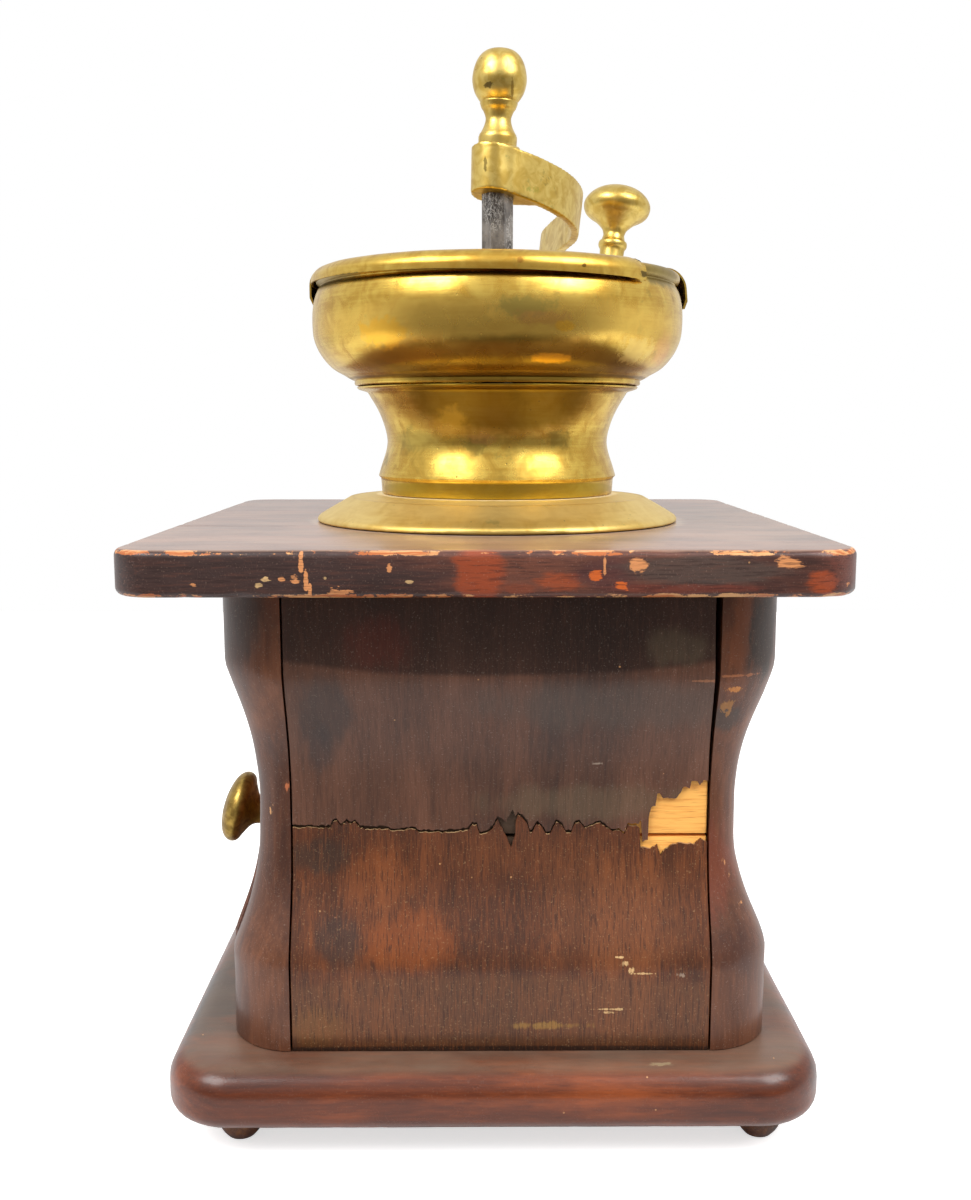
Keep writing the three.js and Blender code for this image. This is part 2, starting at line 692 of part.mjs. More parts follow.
function makeDrawer() {
  const low = CASE_LOW + SEAT;
  const high = CASE_LOW + DRAWER_FRONT_HEIGHT;
  const outside = (z) => leftFaceAt(z - DRAWER_LIFT);
  const halfFront = POST_SIDE - POST_GAP / 2 - SEAT;
  const knobHeight = BASE_TOP + KNOB_HEIGHT;
  const knobFoot = [-outside(knobHeight), 0, knobHeight];
  const through = -KNOB_SCREW.length - 8;
  const screwHole = disc(KNOB_SCREW.shank + SEAT, through, KNOB_BORE_DEPTH, 10);
  const onFace = (shape) => moved(turned(shape, 0, KNOB_TILT - 90, 0), ...knobFoot);
  const spotFace = onFace(disc(KNOB_STEM_RADIUS + 1.5, -KNOB_SEAT_DEPTH, 12, 16));
  const headLow = KNOB_SCREW_GRIP - KNOB_SCREW.length;
  const headRoom = disc(KNOB_SCREW.head + 2 * RUNNING, through, headLow + KNOB_SCREW.headHeight + SEAT, 12);
  const screwSeat = onFace(headRoom);
  const front = turned(wall(low, high, flatInside, outside, halfFront), 0, 0, FACING.left);
  piece("drawer_front", cut(front, onFace(screwHole), spotFace, screwSeat), BOARD_WOOD);

  const floorLow = low + SEAT;
  const boxTop = low + DRAWER_BOX_HEIGHT;
  const x0 = -WALL_INNER + SEAT;
  const x1 = x0 + DRAWER_LENGTH;
  const y1 = DRAWER_HALF_WIDTH;
  const inner = y1 - DRAWER_WALL;
  const sideLow = floorLow + DRAWER_FLOOR + SEAT;
  piece("drawer_floor", box([x0, x1], [-y1, y1], [floorLow, floorLow + DRAWER_FLOOR]), PINE);
  piece("drawer_side_front", box([x0, x1], [-y1, -inner], [sideLow, boxTop]), PINE);
  piece("drawer_side_back", box([x0, x1], [inner, y1], [sideLow, boxTop]), PINE);
  piece("drawer_end", box([x1 - DRAWER_WALL, x1], [SEAT - inner, inner - SEAT], [sideLow, boxTop]), PINE);

  for (const [side, sign] of [
    ["front", -1],
    ["back", 1],
  ]) {
    const along = [RUNNER_START - WALL_INNER, x1];
    const across = [sign * (y1 + RUNNING), sign * (WALL_INNER - SEAT)].sort((a, b) => a - b);
    piece("drawer_runner_" + side, box(along, across, [CASE_LOW, CASE_LOW + RUNNER_HEIGHT]), PINE);
  }

  const cap = KNOB_LENGTH * 0.66;
  const knobOutline = [
    [0, 0],
    [KNOB_STEM_RADIUS + 0.8, 0],
    [KNOB_STEM_RADIUS + 1.1, 1.4],
    [KNOB_STEM_RADIUS, 3],
    [KNOB_STEM_RADIUS * 0.86, 6.5],
    [KNOB_STEM_RADIUS * 1.1, 9.6],
    [KNOB_RADIUS * 0.72, cap * 0.82],
    [KNOB_RADIUS * 0.96, cap * 0.95],
    [KNOB_RADIUS, cap * 1.08],
    [KNOB_RADIUS * 0.9, cap * 1.24],
    [KNOB_RADIUS * 0.62, KNOB_LENGTH - 1.5],
    [KNOB_RADIUS * 0.3, KNOB_LENGTH - 0.3],
    [0, KNOB_LENGTH],
  ];
  piece("drawer_knob", onFace(cut(lathe(knobOutline, 20), screwHole)), BRASS);
  piece("drawer_knob_screw", onFace(moved(screw(KNOB_SCREW, false), 0, 0, headLow)), STEEL);
}

// Brass skirt, hopper and lid

function makeHopper() {
  const t = SKIRT_METAL;
  const skirt = [
    [THROAT_RADIUS, SKIRT_HEIGHT - t],
    [SKIRT_FLAT_RADIUS - 0.5, SKIRT_HEIGHT - t],
    [SKIRT_RADIUS - 1.9, 1.4],
    [SKIRT_RADIUS - 1.2, SEAT],
    [SKIRT_RADIUS, SEAT],
    [SKIRT_RADIUS + 0.2, 1],
    [SKIRT_RADIUS - 0.6, 2.1],
    [SKIRT_FLAT_RADIUS, SKIRT_HEIGHT],
    [THROAT_RADIUS, SKIRT_HEIGHT],
  ];
  const screwHole = disc(BRIDGE_SCREW.shank + SEAT, 0, BRIDGE_SCREW.length, 10);
  const screwHoles = gearScrews().map(([x, y]) => moved(screwHole, x, y, DECK));
  piece("hopper_skirt", cut(moved(lathe(skirt, 48), 0, 0, DECK), ...screwHoles), BRASS);

  // The neck is a spun tube with a floor, and its top is turned outwards as a ledge for the bowl.
  const foot = SKIRT_HEIGHT + SEAT;
  const ledge = NECK_TOP - SEAT;
  const neck = [
    [NECK_FOOT_RADIUS, foot],
    [NECK_BEAD_RADIUS, 15.2],
    [NECK_BEAD_RADIUS - 0.9, 18.5],
    [NECK_WAIST_RADIUS + 0.4, 23.5],
    [NECK_WAIST_RADIUS, 27],
    [NECK_WAIST_RADIUS + 1, 31.8],
    [NECK_WAIST_RADIUS + 3, 36.8],
    [NECK_TOP_RADIUS - 2.9, 43],
    [NECK_TOP_RADIUS + 0.6, 43.6],
    [NECK_TOP_RADIUS + 1, ledge],
    [NECK_TOP_RADIUS - 3.3, ledge],
    [NECK_TOP_RADIUS - 4.3, 42.9],
    [NECK_WAIST_RADIUS + 2, 36.8],
    [NECK_WAIST_RADIUS - 0.9, 27],
    [NECK_WAIST_RADIUS - 0.2, 20.5],
    [NECK_FOOT_RADIUS - 1, 15],
    [NECK_FOOT_RADIUS - 1.4, foot + HOPPER_METAL],
    [THROAT_RADIUS, foot + HOPPER_METAL],
    [THROAT_RADIUS, foot],
  ];
  piece("hopper_neck", cut(moved(lathe(neck, 48), 0, 0, DECK), ...screwHoles), BRASS);

  const outside = [
    [NECK_TOP_RADIUS - 3.3, NECK_TOP],
    [NECK_TOP_RADIUS + 1.2, NECK_TOP],
    [NECK_TOP_RADIUS + 2.4, NECK_TOP + 0.9],
    [BOWL_RADIUS - 6, 49.8],
    [BOWL_RADIUS - 2.5, 54.6],
    [BOWL_RADIUS - 0.5, 59.4],
    [BOWL_RADIUS, BOWL_BELLY],
    [BOWL_RADIUS - 0.2, 68.5],
    [BOWL_RADIUS - 1.2, 72.2],
    [BOWL_RADIUS - 3, BOWL_SHOULDER],
    [RIM_RADIUS - RIM_ROUND - 0.6, 75.6],
  ];
  const rim = arc([RIM_RADIUS - RIM_ROUND, RIM_HEIGHT - RIM_ROUND], RIM_ROUND, -60, 180, 6);
  const inside = [
    [RIM_RADIUS - 2 * RIM_ROUND, 74.6],
    [BOWL_RADIUS - 2.4, 71.2],
    [BOWL_RADIUS - 0.9, 67],
    [BOWL_RADIUS - 1, 60.6],
    [BOWL_RADIUS - 3.4, 54.8],
    [BOWL_RADIUS - 7, 50.6],
    [NECK_TOP_RADIUS + 1.6, NECK_TOP + 1.9],
    [NECK_TOP_RADIUS - 3.3, NECK_TOP + HOPPER_METAL],
  ];
  piece("hopper_bowl", moved(lathe([...outside, ...rim, ...inside], 48), 0, 0, DECK), BRASS);
}

// The section of a lid half: a flat plate, a round edge and a skirt with a lip turned in below.
function lidSection(inner, radius, top, round, skirt, lip) {
  const t = LID_METAL;
  const centre = [radius - round, top - round];
  return [
    [inner, top - t],
    ...arc(centre, round - t, 90, 0, 4),
    ...(lip ? [[radius - t, skirt + 3]] : []),
    [radius - t - lip, skirt],
    [radius - lip, skirt],
    ...(lip ? [[radius, skirt + 2.4]] : []),
    ...arc(centre, round, 0, 90, 5),
    [inner, top],
  ];
}

function makeLid() {
  const notch = OCTAGON_RADIUS + LID_NOTCH_PLAY;
  const fixedSkirt = FIXED_LID_TOP - FIXED_LID_DEPTH;
  const fixedSizes = [FIXED_LID_RADIUS, FIXED_LID_TOP, FIXED_LID_ROUND, fixedSkirt, FIXED_LID_LIP];
  const fixed = lidSection(notch, ...fixedSizes);
  const hem = turned(disc(HEM_RADIUS, HEM_START, FIXED_LID_RADIUS - HEM_INSET, 10), 0, 90, 0);
  const hemPlace = [0, HEM_RADIUS - 0.5, TURNING_LID_TOP + SEAT + HEM_RADIUS];
  const hems = [moved(hem, ...hemPlace), moved(turned(hem, 0, 0, 180), ...hemPlace)];
  const back = joined(lathe(fixed, 56, 0, 180), ...hems);
  piece("lid_fixed_half", moved(back, 0, 0, DECK), BRASS);

  const hole = OCTAGON_RADIUS + 2 * RUNNING;
  const skirt = TURNING_LID_TOP - TURNING_LID_DEPTH;
  const section = lidSection(0, TURNING_LID_RADIUS, TURNING_LID_TOP, TURNING_LID_ROUND, skirt, 0);
  const eye = disc(LID_EYE_RADIUS, TURNING_LID_TOP - LID_METAL, TURNING_LID_TOP, 24);
  const front = cut(joined(lathe(section, 56, 180, 180), eye), disc(hole, 0, FIXED_LID_TOP, 20));
  piece("lid_turning_half", moved(turned(front, 0, 0, LID_REST_TURN), 0, 0, DECK), BRASS);
}

// Grinding gear

const gearScrews = () => [
  [GEAR_SCREW_CIRCLE, 0],
  [-GEAR_SCREW_CIRCLE, 0],
];

function housingScrews() {
  return [90, 210, 330].map((angle, i) => [
    i + 1,
    HOUSING_SCREW_CIRCLE * Math.cos(angle * TURN),
    HOUSING_SCREW_CIRCLE * Math.sin(angle * TURN),
  ]);
}

// A ring of teeth: a star whose points lie on the radius and whose roots lie a tooth inside it.
function star(radius, tooth, teeth, turn, z) {
  return Array.from({ length: teeth * 2 }, (_, i) => {
    const angle = ((i * 180) / teeth + turn) * TURN;
    const r = i % 2 ? radius - tooth : radius;
    return [r * Math.cos(angle), r * Math.sin(angle), z];
  });
}

// A flat bar along X with nearly half-round corners.
function flatBar(length, width, low, high) {
  return board(length, width, width * 0.36, [
    [0, low],
    [0, high],
  ], 3);
}

function makeGrindingGear() {
  const collarTop = SKIRT_HEIGHT - SKIRT_METAL - SEAT;
  const ledge = HOUSING_BORE - RING_LEDGE;
  const collar = HOUSING_RADIUS + HOUSING_COLLAR;
  const flange = HOUSING_RADIUS + HOUSING_FLANGE_REACH;
  const housingOutline = [
    [HOUSING_BORE, collarTop],
    [HOUSING_BORE, RING_BOTTOM],
    [ledge, RING_BOTTOM],
    [ledge, HOUSING_BOTTOM],
    [HOUSING_RADIUS, HOUSING_BOTTOM],
    [HOUSING_RADIUS, SEAT],
    [flange, SEAT],
    [flange, SEAT + HOUSING_FLANGE],
    [collar, SEAT + HOUSING_FLANGE],
    [collar, collarTop],
  ];
  const bridgeHole = disc(BRIDGE_SCREW.shank + SEAT, -8, 20, 10);
  const barHole = disc(BAR_SCREW.shank + SEAT, -1 - LOWER_BAR_THICKNESS, 12, 10);
  const bridgeHoles = gearScrews().map(([x, y]) => moved(bridgeHole, x, y, 0));
  const barHoles = gearScrews().map(([x, y]) => moved(barHole, x, y, HOUSING_BOTTOM));
  let housing = cut(lathe(housingOutline, 40), ...bridgeHoles, ...barHoles);
  for (const [number, x, y] of housingScrews()) {
    housing = cut(housing, moved(disc(HOUSING_SCREW.shank + SEAT, -1, 8, 10), x, y, 0));
    const top = SEAT * 2 + HOUSING_FLANGE + HOUSING_SCREW.headHeight;
    const held = moved(turned(screw(HOUSING_SCREW, false), 180, 0, 0), x, y, DECK + top);
    piece("housing_screw_" + number, held, STEEL);
  }
  piece("burr_housing", moved(housing, 0, 0, DECK), IRON);

  const ringTop = RING_BOTTOM + SEAT + RING_HEIGHT;
  const bite = [
    [RING_BOTTOM - 1, HOUSING_BORE - 1.8],
    [RING_BOTTOM + RING_HEIGHT * 0.5, HOUSING_BORE - 4],
    [ringTop + 1, HOUSING_BORE - 1.4],
  ];
  const ringTwist = -TOOTH_TWIST / (bite.length - 1);
  const mouth = loft(bite.map(([z, r], i) => star(r, RING_TOOTH, RING_TEETH, ringTwist * i, z)));
  const ring = cut(disc(HOUSING_BORE - SEAT, RING_BOTTOM + SEAT, ringTop, 40), mouth);
  piece("ring_burr", moved(ring, 0, 0, DECK), IRON);

  const coneTop = CONE_BOTTOM + CONE_HEIGHT;
  const swell = [
    [CONE_BOTTOM, CONE_RADIUS],
    [CONE_BOTTOM + 5, CONE_RADIUS - 1.4],
    [CONE_BOTTOM + CONE_HEIGHT * 0.6, (CONE_RADIUS + CONE_TOP_RADIUS) / 2],
    [coneTop, CONE_TOP_RADIUS],
  ];
  const coneTwist = TOOTH_TWIST / (swell.length - 1);
  const cone = loft(swell.map(([z, r], i) => star(r, CONE_TOOTH, CONE_TEETH, coneTwist * i, z)));
  const across = (shape) => moved(turned(shape, 0, 90, 0), 0, 0, coneTop - CONE_PIN_DROP);
  const pinHole = across(disc(CONE_PIN_RADIUS + SEAT, -CONE_TOP_RADIUS - 2, CONE_TOP_RADIUS + 2, 10));
  const coneBore = disc(SHAFT_RADIUS + SEAT, CONE_BOTTOM - 1, coneTop + 1, 20);
  piece("cone_burr", moved(cut(cone, coneBore, pinHole), 0, 0, DECK), IRON);
  const pin = across(disc(CONE_PIN_RADIUS, 1 - CONE_TOP_RADIUS, CONE_TOP_RADIUS - 1, 10));
  piece("cone_burr_pin", moved(pin, 0, 0, DECK), STEEL);

  const bridgeLow = SKIRT_HEIGHT + 2 * SEAT + HOPPER_METAL;
  const bridgeHigh = bridgeLow + BRIDGE_HEIGHT;
  const bridgeLength = 2 * (GEAR_SCREW_CIRCLE + 4.4);
  const bar = flatBar(bridgeLength, BRIDGE_WIDTH, bridgeLow, bridgeHigh);
  const bridgeTop = bridgeHigh + BOSS_RISE;
  const bridgeBoss = disc(BOSS_RADIUS, bridgeLow, bridgeTop, 24);
  const journal = disc(SHAFT_RADIUS + RUNNING, bridgeLow - 1, bridgeTop + 1, 20);
  const bridge = cut(joined(bar, bridgeBoss), journal, ...bridgeHoles);
  piece("bearing_bridge", moved(bridge, 0, 0, DECK), IRON);

  const barHigh = HOUSING_BOTTOM - SEAT;
  const barLow = barHigh - LOWER_BAR_THICKNESS;
  const bossLow = barHigh - LOWER_BOSS_LENGTH;
  const lower = flatBar(2 * HOUSING_RADIUS + 4, BRIDGE_WIDTH + 2, barLow, barHigh);
  const socketFloor = barHigh - SOCKET_DEPTH;
  const lowerBoss = disc(BOSS_RADIUS, bossLow, barHigh + BOSS_RISE, 24);
  const socket = disc(SHAFT_RADIUS + RUNNING, socketFloor, barHigh + BOSS_RISE + 1, 20);
  const thread = disc(ADJUSTER_RADIUS + SEAT, bossLow - 1, socketFloor + 1, 16);
  const lowerBar = cut(joined(lower, lowerBoss), socket, thread, ...barHoles);
  piece("lower_bearing_bar", moved(lowerBar, 0, 0, DECK), IRON);

  ["right", "left"].forEach((side, i) => {
    const [x, y] = gearScrews()[i];
    const headTop = bridgeHigh + SEAT + BRIDGE_SCREW.headHeight;
    const fromAbove = moved(turned(screw(BRIDGE_SCREW, false), 180, 0, 0), x, y, DECK + headTop);
    piece("bridge_screw_" + side, fromAbove, STEEL);
    const fromBelow = moved(screw(BAR_SCREW, false), x, y, DECK + barLow - SEAT - BAR_SCREW.headHeight);
    piece("bar_screw_" + side, fromBelow, STEEL);
  });

  const shaftLow = socketFloor + RUNNING;
  const thrustHigh = shaftLow - SEAT;
  const thrust = disc(THRUST_RADIUS, thrustHigh - THRUST_LENGTH, thrustHigh, 14);
  piece("thrust_pin", moved(thrust, 0, 0, DECK), STEEL);
  const screwHigh = thrustHigh - THRUST_LENGTH - SEAT;
  const nutHigh = bossLow - SEAT;
  const nutLow = nutHigh - LOCK_NUT_HEIGHT;
  const headHigh = nutLow - SEAT - LIFT_TRAVEL;
  const wing = flatBar(2 * ADJUSTER_HEAD_RADIUS, ADJUSTER_WING_WIDTH, headHigh - ADJUSTER_HEAD, headHigh);
  const adjuster = joined(disc(ADJUSTER_RADIUS, headHigh - 1, screwHigh, 16), wing);
  piece("adjusting_screw", moved(adjuster, 0, 0, DECK), STEEL);
  const nutThread = disc(ADJUSTER_RADIUS + SEAT, nutLow - 1, nutHigh + 1, 16);
  const nut = cut(disc(LOCK_NUT_RADIUS, nutLow, nutHigh, 6), nutThread);
  piece("lock_nut", moved(nut, 0, 0, DECK), STEEL);

  makeShaft(bridgeTop, shaftLow, pinHole);
}

// The shaft: a round lower end, an octagonal bar above the bridge, a square tang and a stud.
function makeShaft(bridgeTop, low, pinHole) {
  const octagonLow = bridgeTop + 1.5;
  const octagon = turned(disc(OCTAGON_RADIUS, octagonLow, SHAFT_SHOULDER, 8), 0, 0, 22.5);
  const half = TANG_WIDTH / 2 - SEAT;
  const shaft = joined(
    disc(SHAFT_RADIUS, low, octagonLow + 1, 20),
    octagon,
    box([-half, half], [-half, half], [SHAFT_SHOULDER - 1, CRANK_SEAT - SEAT]),
    disc(STUD_RADIUS, CRANK_SEAT - 1, CRANK_SEAT + NUT_DEPTH - 1, 12),
  );
  piece("main_shaft", moved(cut(shaft, pinHole), 0, 0, DECK), IRON);
}

// Crank

// The strap is two equal bends joined by a straight, the same seen from either end. X runs towards
// the grip and Y to its left, in the crank's own plane.
function crankBend() {
  const centre = [CRANK_BEND_AHEAD, CRANK_BEND_ASIDE];
  const toMiddle = [CRANK_LENGTH / 2 - centre[0], -centre[1]];
  const towards = Math.atan2(toMiddle[1], toMiddle[0]) / TURN;
  const leave = towards - Math.acos(CRANK_BEND_RADIUS / Math.hypot(...toMiddle)) / TURN;
  const hub = Math.atan2(-centre[1], -centre[0]) / TURN;
  return { centre, start: hub - 2, leave };
}

const fromOtherEnd = ([x, y]) => [CRANK_LENGTH - x, -y];

function strapSide(offset) {
  const { centre, start, leave } = crankBend();
  const first = arc(centre, CRANK_BEND_RADIUS + offset, start, leave, 14);
  const second = arc(centre, CRANK_BEND_RADIUS - offset, start, leave, 14);
  return [...first, ...second.reverse().map(fromOtherEnd)];
}

// The web that widens the strap into the hub, on the inside of the bend.
function hubWeb() {
  const { centre, start } = crankBend();
  const end = start + CRANK_WEB_TURN;
  const inner = arc(centre, CRANK_BEND_RADIUS - STRAP_THICKNESS / 2, end, end, 1)[0];
  const middle = arc(centre, CRANK_BEND_RADIUS, end, start + 20, 2);
  return [[0, 0], [HUB_RADIUS - 0.1, 0.6], inner, ...middle];
}

// The fillet on the outside of the bend, where the hub runs out into the strap.
function hubFillet() {
  const { centre, start } = crankBend();
  const side = CRANK_BEND_RADIUS + STRAP_THICKNESS / 2;
  const proud = Math.hypot(...centre) + HUB_RADIUS - side;
  const hub = start + 2;
  const outside = [0, 0.2, 0.4, 0.6, 0.8, 1].map((along) => {
    const angle = hub + CRANK_FILLET_TURN * along;
    return arc(centre, side + proud * (1 - along) ** 2 - 0.05, angle, angle, 1)[0];
  });
  const middle = arc(centre, CRANK_BEND_RADIUS, hub + CRANK_FILLET_TURN, hub + 8, 3);
  return [[0, 0], ...outside, ...middle];
}

function makeCrank() {
  const half = STRAP_THICKNESS / 2;
  const outline = [...strapSide(half), ...strapSide(-half).reverse()];
  const strap = prism(outline, -STRAP_HEIGHT, 0);
  const hub = disc(HUB_RADIUS, -STRAP_HEIGHT, 0, 28);
  const boss = moved(disc(HUB_RADIUS - 0.2, -STRAP_HEIGHT, 0, 24), CRANK_LENGTH, 0, 0);
  const web = prism(hubWeb(), -STRAP_HEIGHT, 0);
  const farWeb = prism(hubWeb().map(fromOtherEnd), -STRAP_HEIGHT, 0);
  const fillet = prism(hubFillet(), -STRAP_HEIGHT, 0);
  const farFillet = prism(hubFillet().map(fromOtherEnd), -STRAP_HEIGHT, 0);
  const sloped = (shape) => turned(shape, CRANK_ROLL, CRANK_SLOPE, CRANK_HEADING);
  const place = (shape) => moved(sloped(shape), 0, 0, DECK + CRANK_HEIGHT);
  const flat = DECK + CRANK_SEAT;
  const hubTop = disc(HUB_RADIUS - 0.3, flat - 8, flat, 28);
  const tang = TANG_WIDTH / 2;
  const square = box([-tang, tang], [-tang, tang], [flat - 30, flat + 5]);
  const shoulder = DECK + SHAFT_SHOULDER;
  const octagonSeat = disc(OCTAGON_RADIUS + SEAT, shoulder - 20, shoulder + SEAT, 16);
  const above = box([-20, 20], [-20, 20], [flat, flat + 20]);
  const pinBore = moved(disc(GRIP_PIN_RADIUS + SEAT, -STRAP_HEIGHT - 1, 1, 12), CRANK_LENGTH, 0, 0);
  const blank = place(cut(joined(strap, hub, boss, web, farWeb, fillet, farFillet), pinBore));
  const arm = cut(joined(blank, hubTop), square, octagonSeat, above);
  piece("crank_arm", arm, BRASS);

  const g = GRIP_HEIGHT;
  const gripOutline = [
    [0, 0],
    [GRIP_NECK_RADIUS + 0.3, 0],
    [GRIP_NECK_RADIUS + 0.4, g * 0.18],
    [GRIP_RING_RADIUS - 0.3, g * 0.23],
    [GRIP_RING_RADIUS, g * 0.27],
    [GRIP_RING_RADIUS - 0.3, g * 0.31],
    [GRIP_NECK_RADIUS, g * 0.35],
    [GRIP_NECK_RADIUS - 0.3, g * 0.39],
    [GRIP_NECK_RADIUS, g * 0.43],
    [GRIP_RADIUS * 0.38, g * 0.47],
    [GRIP_RADIUS * 0.6, g * 0.56],
    [GRIP_RADIUS * 0.91, g * 0.65],
    [GRIP_RADIUS, g * 0.74],
    [GRIP_RADIUS * 0.96, g * 0.82],
    [GRIP_RADIUS * 0.78, g * 0.91],
    [GRIP_RADIUS * 0.53, g * 0.97],
    [GRIP_RADIUS * 0.25, g * 0.995],
    [0, g],
  ];
  const gripBore = disc(GRIP_PIN_RADIUS + RUNNING, -1, GRIP_PIN_DEPTH + 1, 12);
  const onArm = (shape) => place(moved(shape, CRANK_LENGTH, 0, SEAT));
  piece("grip_knob", onArm(cut(lathe(gripOutline, 24), gripBore)), BRASS);
  const rivet = lathe(
    [
      [0, -STRAP_HEIGHT - 2],
      [3.2, -STRAP_HEIGHT - 1.6],
      [4.2, -STRAP_HEIGHT - 2 * SEAT],
      [GRIP_PIN_RADIUS, -STRAP_HEIGHT - 2 * SEAT],
      [GRIP_PIN_RADIUS, GRIP_PIN_DEPTH],
      [0, GRIP_PIN_DEPTH],
    ],
    12,
  );
  piece("grip_pin", onArm(rivet), STEEL);

  const nutOutline = [
    [0, 0],
    [6.2, 0],
    [6.3, 3.6],
    [5.7, 4.1],
    [4.7, 6.3],
    [4.15, 8.4],
    [4.3, 9.6],
    [5.3, 11.9],
    [6.2, 13.8],
    [5.9, 14.3],
    [7.1, 15.4],
    [8.1, 17.2],
    [8.8, 20],
    [8.8, 22],
    [8.2, 24.9],
    [7, 27.5],
    [5.2, 29.3],
    [3.2, 30.1],
    [0, 30.4],
  ];
  const nutBore = disc(STUD_RADIUS + SEAT, -1, NUT_DEPTH, 12);
  piece("finial_nut", moved(cut(lathe(nutOutline, 20), nutBore), 0, 0, flat + SEAT), BRASS);
}

makeBoards();
makeCase();
makeDrawer();
makeHopper();
makeLid();
makeGrindingGear();
makeCrank();

const bounds = new THREE.Box3().setFromObject(mill);
const centre = bounds.getCenter(new THREE.Vector3());
mill.position.set(-centre.x, -centre.y, -bounds.min.z);

export default mill;
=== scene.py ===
import logging
import math
import random
from dataclasses import dataclass, field
from enum import Enum
from functools import lru_cache
from typing import Callable, ClassVar, Iterable, Optional, Sequence, Union

import bmesh
import bpy
from mathutils import Euler, Matrix, Vector, noise


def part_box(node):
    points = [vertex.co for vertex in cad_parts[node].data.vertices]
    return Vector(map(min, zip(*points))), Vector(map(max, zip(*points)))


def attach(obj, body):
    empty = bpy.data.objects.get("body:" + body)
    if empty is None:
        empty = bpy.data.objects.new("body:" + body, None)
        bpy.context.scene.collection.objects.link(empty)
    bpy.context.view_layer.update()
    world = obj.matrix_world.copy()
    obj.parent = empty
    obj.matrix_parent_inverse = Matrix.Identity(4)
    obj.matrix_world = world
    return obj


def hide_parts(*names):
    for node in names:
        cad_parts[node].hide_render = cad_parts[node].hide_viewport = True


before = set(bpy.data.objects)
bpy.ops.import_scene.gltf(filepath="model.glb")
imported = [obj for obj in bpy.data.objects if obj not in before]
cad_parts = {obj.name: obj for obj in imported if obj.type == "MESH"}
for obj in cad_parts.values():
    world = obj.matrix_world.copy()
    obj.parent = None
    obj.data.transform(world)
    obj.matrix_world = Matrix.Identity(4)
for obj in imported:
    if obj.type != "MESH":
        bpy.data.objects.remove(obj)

LOG = logging.getLogger("coffee_mill")
MM = 0.001
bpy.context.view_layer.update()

Point = tuple[float, float]
Triple = tuple[float, float, float]
Colour = tuple[float, float, float, float]
Reach = Callable[[float], float]
Piece = bpy.types.Object
Material = bpy.types.Material
Socket = bpy.types.NodeSocket


def paint(red: int, green: int, blue: int) -> Colour:
    """A colour as it looks on a screen, as the linear colour that a shader takes.

    Args:
        red: The red part, from 0 to 255.
        green: The green part.
        blue: The blue part.

    Returns:
        The linear colour with full opacity.
    """
    def linear(part: int) -> float:
        """One part of the colour without the screen's curve."""
        share = part / 255
        return share / 12.92 if share < 0.04045 else ((share + 0.055) / 1.055) ** 2.4

    return linear(red), linear(green), linear(blue), 1.0


@lru_cache(maxsize=None)
def frame_box(node: str) -> tuple[Vector, Vector]:
    """The lowest and highest corner of a CAD node, in millimetres."""
    low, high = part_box(node)
    return low / MM, high / MM


NUT_LOW, NUT_HIGH = frame_box("finial_nut")
AXIS = Vector(((NUT_LOW.x + NUT_HIGH.x) / 2, (NUT_LOW.y + NUT_HIGH.y) / 2, 0))
DECK = frame_box("top_board")[1].z
BASE_TOP = frame_box("base_board")[1].z
CASE_TOP = frame_box("top_board")[0].z
CORNERS = ("back_left", "back_right", "front_left", "front_right")


def held(value: float) -> float:
    """A value held between 0 and 1."""
    return max(min(value, 1), 0)


# Shader maths

class Signal:
    """A number that changes over a surface, which Python's operators can work with."""

    def __init__(self, surface: "Surface", socket: Socket) -> None:
        """Keeps the surface and the socket that the number comes from."""
        self.surface = surface
        self.socket = socket

    def math(self, operation: str, first: "Number", second: "Number") -> "Signal":
        """A Math node on two numbers."""
        node = self.surface.add("ShaderNodeMath", {"operation": operation}, {0: first, 1: second})
        return Signal(self.surface, node.outputs[0])

    def __add__(self, other: "Number") -> "Signal":
        """This number plus another."""
        return self.math("ADD", self, other)

    def __radd__(self, other: "Number") -> "Signal":
        """Another number plus this one."""
        return self.math("ADD", other, self)

    def __sub__(self, other: "Number") -> "Signal":
        """This number less another."""
        return self.math("SUBTRACT", self, other)

    def __rsub__(self, other: "Number") -> "Signal":
        """Another number less this one."""
        return self.math("SUBTRACT", other, self)

    def __mul__(self, other: "Number") -> "Signal":
        """This number times another."""
        return self.math("MULTIPLY", self, other)

    def __rmul__(self, other: "Number") -> "Signal":
        """Another number times this one."""
        return self.math("MULTIPLY", other, self)

    def __abs__(self) -> "Signal":
        """This number without its sign."""
        return self.math("ABSOLUTE", self, 0.0)

    def highest(self, other: "Number") -> "Signal":
        """The larger of this number and another."""
        return self.math("MAXIMUM", self, other)

    def between(self, low: float, high: float) -> "Signal":
        """A smooth step from 0 at one value of this number to 1 at another.

        Args:
            low: The value that gives 0.
            high: The value that gives 1.

        Returns:
            The step, from 0 to 1.
        """
        values = {"Value": self, "From Min": low, "From Max": high}
        node = self.surface.add("ShaderNodeMapRange", {"interpolation_type": "SMOOTHSTEP"}, values)
        return Signal(self.surface, node.outputs[0])


Number = Union[float, Signal]
Feed = Union[float, tuple, Vector, Signal, Socket]


